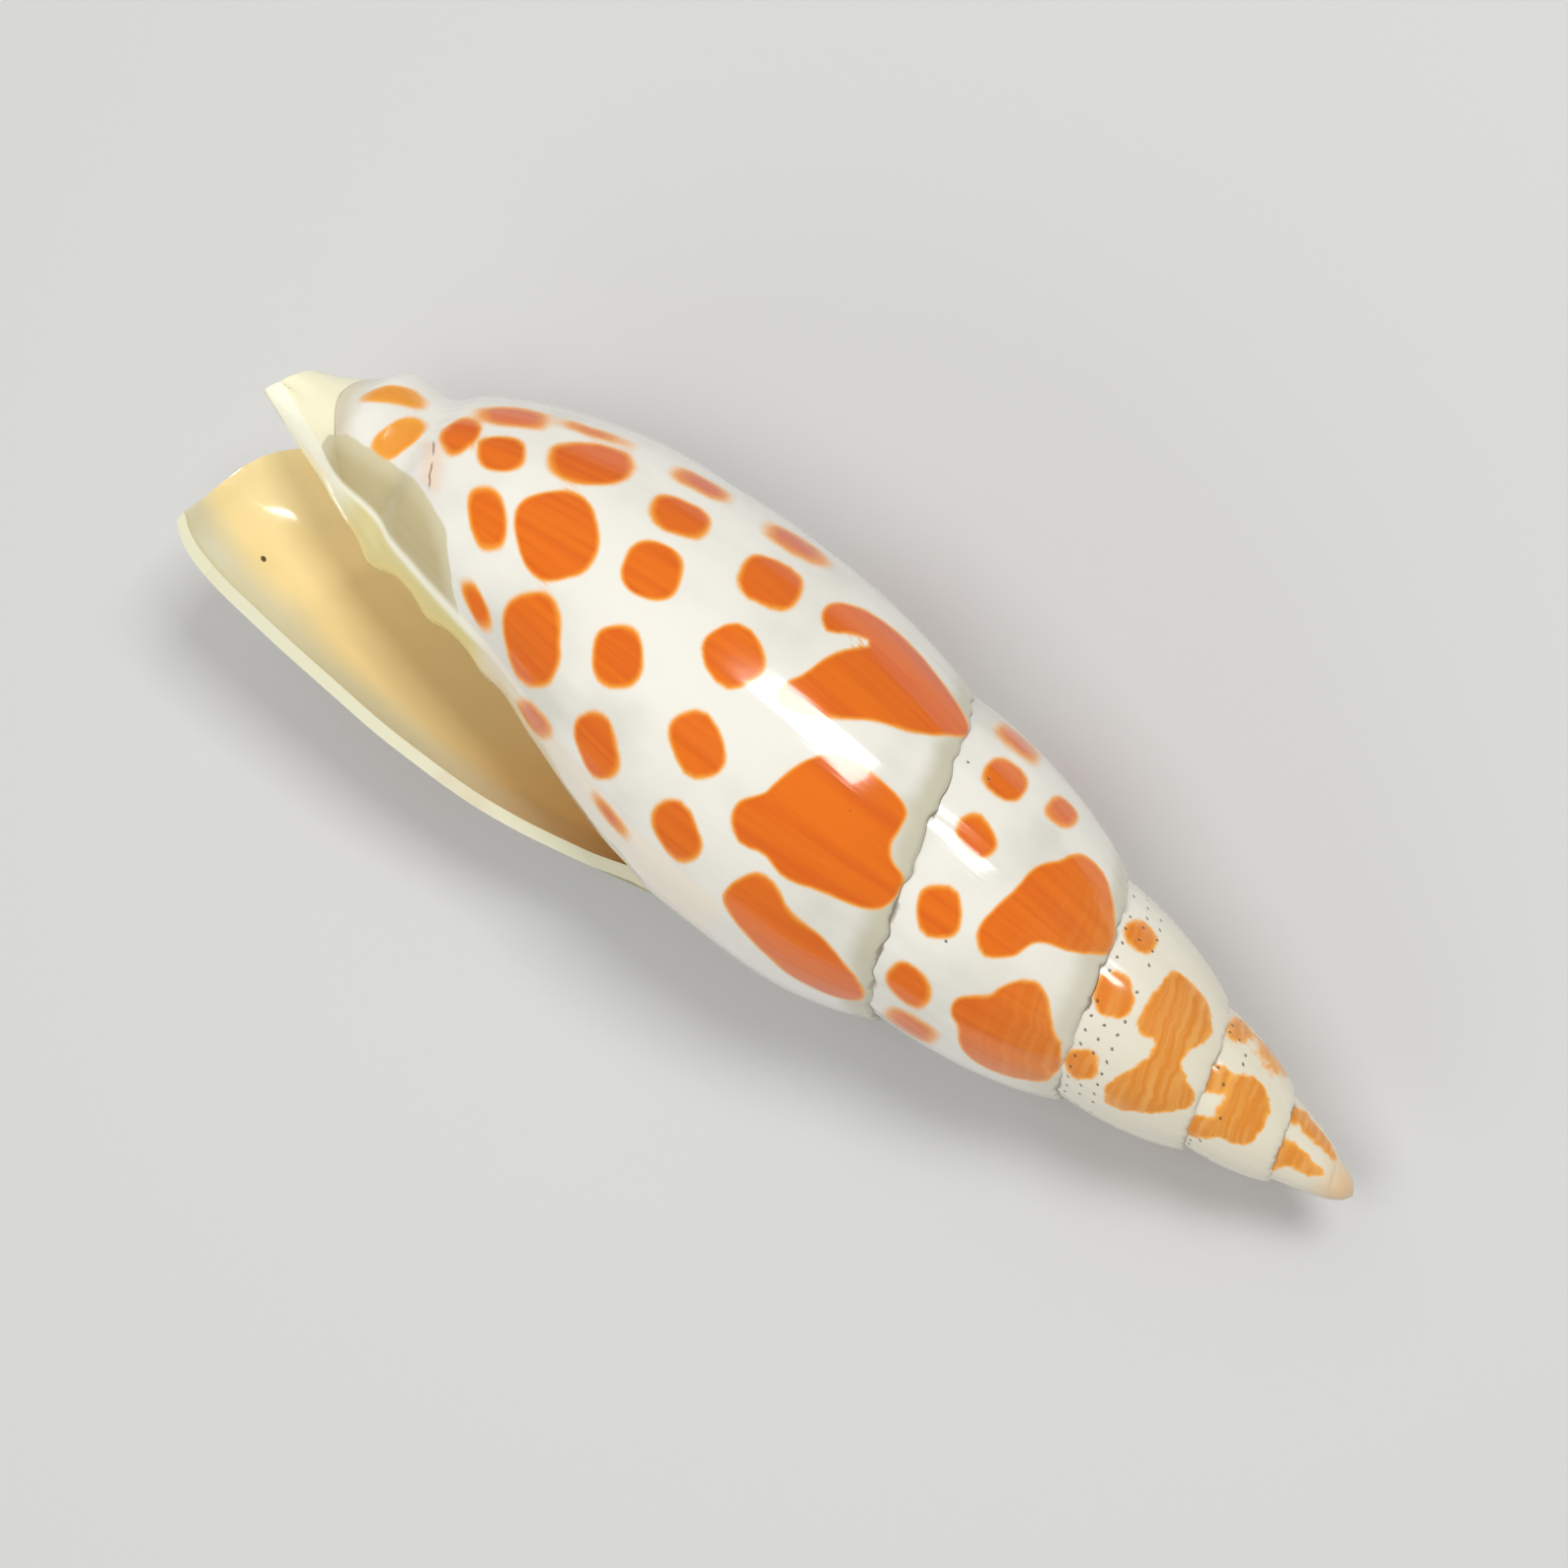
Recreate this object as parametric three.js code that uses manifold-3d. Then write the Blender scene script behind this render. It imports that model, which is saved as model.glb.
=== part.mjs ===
// A mitre shell: a slender right-handed spiral shell with a long open mouth,
// folds on its pillar and a shallow notch at the front end.
// Lengths are in millimetres. Distances along the axis run from the apex to the front end.

import * as THREE from 'three';
import { mergeVertices } from 'three/addons/utils/BufferGeometryUtils.js';
import Module from 'manifold-3d';

const shellLength = 110;
const turns = 5.25;
const growthPerTurn = 1.5;
const sutureReach = 68;
const tipStart = 0.25;
const growthCentre = sutureReach * growthPerTurn ** -turns - tipStart;
const mouthLift = 3.6;
const lipAngle = 258;
const spireWidth = 0.66;
const spirePower = 0.785;
const tipRounding = 0.8;
const easeFrom = 44;
const easeTo = 58;
const sutureStep = 0.3;
const whorlBulge = 0.05;
const notchDepth = 9;
const notchTurn = -0.21;
const notchSpread = 0.075;
const frontSlant = 0.55;
const slantFrom = 100;
const slantLine = -1.5;
const lipWall = 1.1;
const bodyWall = 2;
const foldHeight = 0.9;
const foldWidth = 1.7;
const foldPlaces = [80.6, 87.2, 94.2];
const tipReach = 110;
const mouthStart = 2.6;
const mouthDeepest = -0.8;
const mouthTaper = 0.22;
const mouthFront = 0.015;
const mouthPast = 6;
const mouthShort = 26;
const mouthRounding = 0.12;
const pillarNarrowing = 0.35;
const leastOpening = 0.4;
const edgeGap = 0.02;
const restTilt = 7.2;
const flatDepth = 0.5;

const columnsPerTurn = 48;
const whorlRows = 5;
const baseRows = 20;
const mouthColumns = 40;
const mouthRows = 18;

// Outlines of the last whorl in three half planes through the axis. The first number of a point
// is the share of the way from the suture to the front end, the second is the radius.
const outlineAtPillar = [
  [0, 11.6], [0.08, 13.2], [0.15, 13.9], [0.24, 14.3], [0.34, 13.9], [0.41, 12.6],
  [0.49, 10.4], [0.58, 8.1], [0.68, 7.4], [0.79, 6.8], [0.9, 4.2], [1, 1.5],
];
const outlineAtBack = [
  [0, 13.8], [0.095, 15.1], [0.185, 15.8], [0.3, 15.9], [0.41, 15.4], [0.5, 14.8],
  [0.6, 13.2], [0.68, 11.3], [0.75, 8.9], [0.805, 6.6], [0.83, 6.8], [0.9, 4.7], [1, 1.1],
];
const outlineAtLip = [
  [0, 14.8], [0.07, 15.4], [0.17, 16.9], [0.36, 18.7], [0.51, 18.9],
  [0.65, 18.5], [0.81, 17.8], [0.91, 17.1], [0.965, 16.2], [1, 14.8],
];

const clamp = (value, low, high) => Math.min(high, Math.max(low, value));

function smooth(low, high, value) {
  const share = clamp((value - low) / (high - low), 0, 1);
  return share * share * (3 - 2 * share);
}

// Height of a round curve through the points at one place: a cubic with flat tops.
function heightOn(points, place) {
  const last = points.length - 1;
  if (place <= points[0][0]) return points[0][1];
  if (place >= points[last][0]) return points[last][1];
  let i = 0;
  while (points[i + 1][0] < place) i += 1;
  const rise = (k) => (points[k + 1][1] - points[k][1]) / (points[k + 1][0] - points[k][0]);
  const slope = (k) => {
    if (k === 0) return rise(0);
    if (k === last) return rise(last - 1);
    const before = rise(k - 1);
    const after = rise(k);
    return before * after <= 0 ? 0 : (2 * before * after) / (before + after);
  };
  const span = points[i + 1][0] - points[i][0];
  const s = (place - points[i][0]) / span;
  const startWeight = (1 + 2 * s) * (1 - s) ** 2;
  const endWeight = s * s * (3 - 2 * s);
  const startSlope = s * (1 - s) ** 2 * span * slope(i);
  const endSlope = s * s * (s - 1) * span * slope(i + 1);
  return startWeight * points[i][1] + endWeight * points[i + 1][1] + startSlope + endSlope;
}

// Where the suture lies at a turn: 0 is the lip and -1 is one turn before it.
function sutureAt(turn) {
  const spiral = sutureReach * growthPerTurn ** turn - growthCentre;
  return Math.max(0, spiral - mouthLift * smooth(-0.3, 0, turn));
}

// Outline of the spire: a rounded tip, an almost straight taper, then a slight easing off.
function spireRadius(distance) {
  const tipRound = tipRounding * (1 - Math.exp(-distance / 0.6)) * Math.exp(-distance / 4);
  return spireWidth * distance ** spirePower + tipRound - smooth(easeFrom, easeTo, distance);
}

function frontEnd(turn) {
  const dip = Math.exp(-(((turn - notchTurn) / notchSpread) ** 2));
  return shellLength - notchDepth * dip;
}

// Round folds that wind back along the pillar into the shell.
function foldsAt(turn, distance) {
  let height = 0;
  for (const place of foldPlaces) {
    const centre = (place + growthCentre) * growthPerTurn ** turn - growthCentre;
    height += foldHeight * Math.exp(-(((distance - centre) / foldWidth) ** 2));
  }
  return height;
}

// Outside of a spire whorl: a low curve between two sutures.
function spireOutside(turn, share) {
  const start = sutureAt(turn);
  const end = sutureAt(turn + 1);
  const distance = start + share * (end - start);
  const curve = 4 * share ** 0.8 * (1 - share) * whorlBulge * (end - start);
  const step = sutureStep * (1 - share) * smooth(-turns, -turns + 2, turn);
  return { distance, radius: spireRadius(distance) + curve + step };
}

// A value that runs in a curve through the three outlines of the last whorl.
function blendTurn(turn, pillar, back, lip) {
  const pillarPart = 2 * turn * (turn + 0.5) * pillar;
  const backPart = -4 * turn * (turn + 1) * back;
  const lipPart = 2 * (turn + 0.5) * (turn + 1) * lip;
  return pillarPart + backPart + lipPart;
}

// Outside of the last whorl, blended from its three outlines.
function bodyOutside(turn, distance) {
  const start = sutureAt(turn);
  const share = clamp((distance - start) / (frontEnd(turn) - start), 0, 1);
  const pillar = heightOn(outlineAtPillar, share);
  const back = heightOn(outlineAtBack, share);
  const lip = heightOn(outlineAtLip, share);
  const blended = blendTurn(turn, pillar, back, lip);
  const edge = blendTurn(turn, outlineAtPillar[0][1], outlineAtBack[0][1], outlineAtLip[0][1]);
  const onSpire = (spireRadius(start) + sutureStep - edge) * (1 - smooth(0, 0.09, share));
  const nearMouth = 1 - smooth(-1, -0.86, turn);
  return blended + onSpire + nearMouth * foldsAt(0, distance);
}

// The first turn of the last whorl grows out of the spire without a jump.
function outsideAt(turn, distance) {
  const start = sutureAt(turn);
  const end = sutureAt(turn + 1);
  const share = clamp((distance - start) / (end - start), 0, 1);
  const spire = spireOutside(turn, share).radius;
  const fromSpire = (1 - smooth(-1, -0.8, turn)) * (distance <= end ? 1 : 1 - smooth(end, end + 4, distance));
  return THREE.MathUtils.lerp(bodyOutside(turn, distance), spire, fromSpire);
}

// A point of the shell. The front tip is cut slantwise, so its far side falls short.
function pointAt(turn, distance, radius) {
  const angle = THREE.MathUtils.degToRad(lipAngle + 360 * turn);
  const across = radius * Math.sin(angle);
  const short = frontSlant * Math.max(0, across - slantLine) * smooth(slantFrom, shellLength, distance);
  return [short - distance, across, radius * Math.cos(angle)];
}

function closedMesh(triangles) {
  const geometry = new THREE.BufferGeometry();
  geometry.setAttribute('position', new THREE.Float32BufferAttribute(triangles.flat(2), 3));
  return mergeVertices(geometry, 1e-4);
}

function positionsOnly(geometry) {
  geometry.deleteAttribute('normal');
  geometry.deleteAttribute('uv');
  return mergeVertices(geometry);
}

// Corners a, b, c, d of a face in order become two triangles.
function addFace(triangles, a, b, c, d) {
  triangles.push([a, b, c], [a, c, d]);
}

function columnAt(turn) {
  const column = [];
  for (let row = 0; row <= whorlRows; row += 1) {
    const share = row / whorlRows;
    if (turn < -1) {
      const { distance, radius } = spireOutside(turn, share);
      column.push(pointAt(turn, distance, radius));
      continue;
    }
    const distance = THREE.MathUtils.lerp(sutureAt(turn), sutureAt(turn + 1), share);
    column.push(pointAt(turn, distance, outsideAt(turn, distance)));
  }
  if (turn < -1) return column;
  const start = sutureAt(turn + 1);
  for (let row = 1; row <= baseRows; row += 1) {
    const distance = THREE.MathUtils.lerp(start, frontEnd(turn), row / baseRows);
    column.push(pointAt(turn, distance, outsideAt(turn, distance)));
  }
  return column;
}

// The whole outside as one closed body, with the mouth still filled.
function filledShell() {
  const triangles = [];
  const columns = [];
  const total = turns * columnsPerTurn;
  for (let k = 0; k <= total; k += 1) columns.push(columnAt(-turns + k / columnsPerTurn));
  const bodyStart = total - columnsPerTurn;
  const tip = pointAt(0, tipReach, 0);
  const apex = [0, 0, 0];
  for (let k = 0; k < total; k += 1) {
    const here = columns[k];
    const next = columns[k + 1];
    const rows = k < bodyStart ? whorlRows : whorlRows + baseRows;
    for (let row = 0; row < rows; row += 1) {
      addFace(triangles, here[row], next[row], next[row + 1], here[row + 1]);
    }
    if (k >= bodyStart) triangles.push([here[rows], next[rows], tip]);
    if (k < bodyStart) {
      const laterHere = columns[k + columnsPerTurn][0];
      const laterNext = columns[k + columnsPerTurn + 1][0];
      addFace(triangles, here[rows], next[rows], laterNext, laterHere);
    }
    if (k < columnsPerTurn) triangles.push([here[0], apex, next[0]]);
  }
  const firstEdge = [...columns[0].slice(0, whorlRows + 1), columns[columnsPerTurn][0]];
  for (let i = 0; i + 1 < firstEdge.length; i += 1) {
    triangles.push([apex, firstEdge[i], firstEdge[i + 1]]);
  }
  const pillarEdge = columns[bodyStart].slice(whorlRows);
  const lipEdge = columns[total];
  triangles.push(...stripBetween(pillarEdge, lipEdge, tip));
  return closedMesh(triangles);
}

// Faces between two edges that start side by side and end in one point.
function stripBetween(inner, outer, end) {
  const triangles = [];
  let i = 0;
  let j = 0;
  while (i < inner.length - 1 || j < outer.length - 1) {
    const innerShare = (i + 1) / inner.length;
    const outerShare = (j + 1) / outer.length;
    const stepInner = j === outer.length - 1 || (i < inner.length - 1 && innerShare < outerShare);
    if (stepInner) {
      triangles.push([inner[i], inner[i + 1], outer[j]]);
      i += 1;
    } else {
      triangles.push([inner[i], outer[j + 1], outer[j]]);
      j += 1;
    }
  }
  triangles.push([inner[i], end, outer[j]]);
  return triangles;
}

// Radius of the pillar and of the older whorl, which bound the mouth on the inside.
function mouthInside(turn, distance) {
  if (turn > 0) return outsideAt(turn - 1, distance) + edgeGap;
  const narrowing = 1 + pillarNarrowing * turn;
  const plain = outsideAt(-1, distance) - foldsAt(0, distance);
  return plain * narrowing + foldsAt(turn, distance);
}

function mouthOutside(turn, distance) {
  const inner = mouthInside(turn, distance);
  const held = Math.min(distance, frontEnd(turn));
  const wall = THREE.MathUtils.lerp(bodyWall, lipWall, smooth(-0.25, -0.02, turn));
  return Math.max(inner + leastOpening, outsideAt(Math.min(turn, 0), held) - wall);
}

// One slice of the hollow: out along the wall and back along the pillar.
function mouthSlice(turn) {
  const start = sutureAt(turn) + mouthStart;
  const end = shellLength + mouthPast - mouthShort * smooth(-0.33, -0.45, turn);
  const wallSide = [];
  const pillarSide = [];
  for (let i = 0; i <= mouthRows; i += 1) {
    const share = i / mouthRows;
    const distance = THREE.MathUtils.lerp(start, end, share);
    const open = Math.sqrt(1 - (1 - Math.min(share / mouthRounding, 1)) ** 2);
    const inner = mouthInside(turn, distance);
    const outer = mouthOutside(turn, distance);
    const middle = (inner + outer) / 2;
    wallSide.push([distance, THREE.MathUtils.lerp(middle, outer, open)]);
    pillarSide.push([distance, THREE.MathUtils.lerp(middle, inner, open)]);
  }
  return [wallSide, pillarSide];
}

// The hollow behind the mouth. It narrows to a point inside the shell.
function mouthSpace() {
  const triangles = [];
  const slices = [];
  for (let j = 0; j <= mouthColumns; j += 1) {
    const turn = THREE.MathUtils.lerp(mouthDeepest, mouthFront, j / mouthColumns);
    const sides = mouthSlice(turn);
    const depth = clamp((turn - mouthDeepest) / mouthTaper, 0, 1);
    const size = Math.sqrt(1 - (1 - depth) ** 2);
    const middleRow = Math.round(mouthRows / 2);
    const centre = [0, 1].map((k) => (sides[0][middleRow][k] + sides[1][middleRow][k]) / 2);
    const place = ([distance, radius]) => {
      const d = THREE.MathUtils.lerp(centre[0], distance, size);
      const r = THREE.MathUtils.lerp(centre[1], radius, size);
      return pointAt(turn, d, r);
    };
    slices.push(sides.map((side) => side.map(place)));
  }
  for (let j = 0; j < mouthColumns; j += 1) {
    const [wallHere, pillarHere] = slices[j];
    const [wallNext, pillarNext] = slices[j + 1];
    for (let i = 0; i < mouthRows; i += 1) {
      addFace(triangles, wallHere[i], wallNext[i], wallNext[i + 1], wallHere[i + 1]);
      addFace(triangles, pillarHere[i], pillarHere[i + 1], pillarNext[i + 1], pillarNext[i]);
    }
    const frontCorners = [wallHere, wallNext, pillarNext, pillarHere].map((edge) => edge[mouthRows]);
    addFace(triangles, ...frontCorners);
  }
  const [wallFront, pillarFront] = slices[mouthColumns];
  for (let i = 0; i < mouthRows; i += 1) {
    addFace(triangles, wallFront[i], pillarFront[i], pillarFront[i + 1], wallFront[i + 1]);
  }
  return closedMesh(triangles);
}

// Triangles that closed up to nothing at the points are left out.
function solidFrom(wasm, geometry) {
  const position = geometry.getAttribute('position');
  const index = geometry.getIndex().array;
  const triVerts = [];
  for (let i = 0; i < index.length; i += 3) {
    const [a, b, c] = [index[i], index[i + 1], index[i + 2]];
    if (a !== b && b !== c && c !== a) triVerts.push(a, b, c);
  }
  const mesh = new wasm.Mesh({
    numProp: 3,
    vertProperties: new Float32Array(position.array),
    triVerts: new Uint32Array(triVerts),
  });
  return new wasm.Manifold(mesh);
}

function geometryFrom(solid) {
  const mesh = solid.getMesh();
  const geometry = new THREE.BufferGeometry();
  geometry.setAttribute('position', new THREE.BufferAttribute(mesh.vertProperties, 3));
  geometry.setIndex(new THREE.BufferAttribute(mesh.triVerts, 1));
  geometry.computeVertexNormals();
  return geometry;
}

// The shell lies on its back, tip slightly down, on a small flat worn where it touches.
function laidDown(wasm, solid) {
  const geometry = geometryFrom(solid);
  geometry.rotateY(THREE.MathUtils.degToRad(restTilt));
  geometry.computeBoundingBox();
  const { min, max } = geometry.boundingBox;
  const floor = min.z + flatDepth;
  const middle = (min.x + max.x) / 2;
  const below = new THREE.BoxGeometry(2 * shellLength, shellLength, shellLength);
  below.translate(middle, 0, floor - shellLength / 2);
  const flattened = solidFrom(wasm, geometry).subtract(solidFrom(wasm, positionsOnly(below)));
  const rested = geometryFrom(flattened);
  rested.translate(-middle, -(min.y + max.y) / 2, -floor);
  return rested;
}

const enamel = new THREE.MeshStandardMaterial({ color: 0xebe6d8, roughness: 0.22, metalness: 0 });

const wasm = await Module();
wasm.setup();
const opened = solidFrom(wasm, filledShell()).subtract(solidFrom(wasm, mouthSpace()));
const shell = new THREE.Mesh(laidDown(wasm, opened), enamel);
shell.name = 'shell';

const mitreShell = new THREE.Group();
mitreShell.add(shell);

export default mitreShell;
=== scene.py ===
import math

import bpy
import numpy as np
from mathutils import Matrix, Vector
from mathutils.bvhtree import BVHTree


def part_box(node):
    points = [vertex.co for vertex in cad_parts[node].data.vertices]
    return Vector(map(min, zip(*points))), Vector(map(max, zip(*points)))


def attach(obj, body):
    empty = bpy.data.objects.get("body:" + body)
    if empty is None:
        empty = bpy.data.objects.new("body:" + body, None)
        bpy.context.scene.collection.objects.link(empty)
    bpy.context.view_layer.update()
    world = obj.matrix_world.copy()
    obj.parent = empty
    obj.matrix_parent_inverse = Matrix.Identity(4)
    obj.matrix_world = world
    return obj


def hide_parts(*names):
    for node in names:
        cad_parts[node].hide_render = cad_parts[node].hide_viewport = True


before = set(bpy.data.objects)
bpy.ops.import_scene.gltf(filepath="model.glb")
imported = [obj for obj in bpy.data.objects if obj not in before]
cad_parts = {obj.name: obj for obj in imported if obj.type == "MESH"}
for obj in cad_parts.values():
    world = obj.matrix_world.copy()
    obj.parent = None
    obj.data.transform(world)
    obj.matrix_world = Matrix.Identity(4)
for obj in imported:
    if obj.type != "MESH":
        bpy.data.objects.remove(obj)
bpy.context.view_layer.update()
print("stage: frame loaded")

mm = 0.001

# Shape of the shell. Lengths are in metres and run along the axis from the tip (apex).
shellForm = {
    "length": 110 * mm,
    "turns": 5.25,
    "tipStart": 0.25 * mm,
    "growthPerTurn": 1.5,
    "sutureReach": 68 * mm,
    "mouthLift": 3.6 * mm,
    "liftFrom": -0.3,
    "lipAngle": math.radians(258),
    "spireWidth": 0.66,
    "spirePower": 0.785,
    "tipRounding": 0.8,
    "tipRise": 0.6,
    "tipFall": 4,
    "easeFrom": 44,
    "easeTo": 58,
    "sutureStep": 0.3 * mm,
    "stepRounding": 0.12 * mm,
    "sutureWander": 0.2 * mm,
    "wanderWaves": ((13, 1, 0.6), (31, 0.6, 2.1), (47, 0.3, 0)),
    "whorlBulge": 0.05,
    "bulgeSkew": 0.8,
    "bulgeTurns": 1.5,
    "joinShare": 0.09,
    "joinReach": 4 * mm,
    "joinTurn": -0.8,
    "notchDepth": 9 * mm,
    "notchTurn": -0.21,
    "notchSpread": 0.075,
    "frontSlant": 0.55,
    "slantFrom": 100 * mm,
    "slantLine": -1.5 * mm,
    "lipWall": 1.1 * mm,
    "bodyWall": 2 * mm,
    "wallFade": (-0.25, -0.02),
    "leastOpening": 0.4 * mm,
    "foldHeight": 0.9 * mm,
    "foldWidth": 1.7 * mm,
    "foldPlaces": (80.6 * mm, 87.2 * mm, 94.2 * mm),
    "foldsEnd": -0.86,
    "frontTip": 110 * mm,
    "mouthStart": 2.6 * mm,
    "mouthDeepest": -0.8,
    "mouthTaper": 0.22,
    "mouthFront": 0.015,
    "mouthNarrowing": 0.35,
    "lipGap": 0.02 * mm,
    "lipGapTurn": 0.005,
    "hollowPast": 6 * mm,
    "hollowShort": 26 * mm,
    "shortFade": (-0.45, -0.33),
    "hollowCorner": 0.12,
    "restTilt": math.radians(7.2),
    "flatDepth": 0.5 * mm,
    "rowCrowding": 0.7,
    "weldReach": 0.0002 * mm,
    "columnsPerTurn": 208,
    "whorlRows": 34,
    "baseRows": 84,
    "mouthColumns": 150,
    "mouthRows": 80,
}

# Outlines of the last whorl: share of the way from suture to front end, radius in mm.
outlineAtPillar = [
    (0, 11.6), (0.08, 13.2), (0.15, 13.9), (0.24, 14.3), (0.34, 13.9), (0.41, 12.6),
    (0.49, 10.4), (0.58, 8.1), (0.68, 7.4), (0.79, 6.8), (0.9, 4.2), (1, 1.5),
]
outlineAtBack = [
    (0, 13.8), (0.095, 15.1), (0.185, 15.8), (0.3, 15.9), (0.41, 15.4), (0.5, 14.8),
    (0.6, 13.2), (0.68, 11.3), (0.75, 8.9), (0.805, 6.6), (0.83, 6.8), (0.9, 4.7), (1, 1.1),
]
outlineAtLip = [
    (0, 14.8), (0.07, 15.4), (0.17, 16.9), (0.36, 18.7), (0.51, 18.9),
    (0.65, 18.5), (0.81, 17.8), (0.91, 17.1), (0.965, 16.2), (1, 14.8),
]
outlineTop = 20 * mm


class Amount:
    # a number that varies over a sheet of mesh, with plain arithmetic on it
    def __init__(self, tree, socket):
        self.tree = tree
        self.socket = socket
        self.name = socket.node.name + "/" + socket.name

    def __add__(self, other):
        return mathNode(self.tree, "ADD", self, other)

    __radd__ = __add__

    def __sub__(self, other):
        return mathNode(self.tree, "SUBTRACT", self, other)

    def __rsub__(self, other):
        return mathNode(self.tree, "SUBTRACT", other, self)

    def __mul__(self, other):
        return mathNode(self.tree, "MULTIPLY", self, other)

    __rmul__ = __mul__

    def __truediv__(self, other):
        return mathNode(self.tree, "DIVIDE", self, other)

    def __pow__(self, other):
        return mathNode(self.tree, "POWER", self, other)

    def __rpow__(self, other):
        return mathNode(self.tree, "POWER", other, self)

    def __neg__(self):
        return mathNode(self.tree, "MULTIPLY", self, -1)


def plug(tree, value, socket):
    # links a varying number to a socket, or sets a fixed one on it
    if isinstance(value, Amount):
        tree.links.new(value.socket, socket)
    else:
        socket.default_value = value


madeNodes = {}


def remembered(tree, kind, values, make):
    # the same sum asked for twice is made once, which keeps the tree small
    key = (tree.name, kind) + tuple(value.name if isinstance(value, Amount) else value for value in values)
    if key not in madeNodes:
        node = make()
        madeNodes[key] = Amount(tree, node.outputs[0])
    return madeNodes[key]


def mathNode(tree, operation, *values):
    def make():
        node = tree.nodes.new("ShaderNodeMath")
        node.operation = operation
        for value, socket in zip(values, node.inputs):
            plug(tree, value, socket)
        return node
    return remembered(tree, operation, values, make)


def ease(value, start, end):
    # 0 before start, 1 after end, and a smooth rise between
    def make():
        node = value.tree.nodes.new("ShaderNodeMapRange")
        node.interpolation_type = "SMOOTHSTEP"
        plug(value.tree, value, node.inputs["Value"])
        plug(value.tree, start, node.inputs["From Min"])
        plug(value.tree, end, node.inputs["From Max"])
        return node
    return remembered(value.tree, "ease", (value, start, end), make)


def limit(value, low, high):
    held = mathNode(value.tree, "MAXIMUM", value, low)
    return mathNode(value.tree, "MINIMUM", held, high)


def mix(a, b, share):
    return a + (b - a) * share


def bell(value):
    # 1 at zero, falling off smoothly on both sides
    return math.e ** (-(value * value))


def outlineHeight(points, share):
    # radius of an outline at one share of its length
    def make():
        node = share.tree.nodes.new("ShaderNodeFloatCurve")
        curve = node.mapping.curves[0]
        scale = mm / outlineTop
        curve.points[0].location = (points[0][0], points[0][1] * scale)
        curve.points[1].location = (points[-1][0], points[-1][1] * scale)
        for place, radius in points[1:-1]:
            curve.points.new(place, radius * scale)
        for point in curve.points:
            point.handle_type = "AUTO_CLAMPED"
        node.mapping.update()
        plug(share.tree, share, node.inputs["Value"])
        return node
    return remembered(share.tree, "outline", (share, tuple(points)), make) * outlineTop


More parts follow.
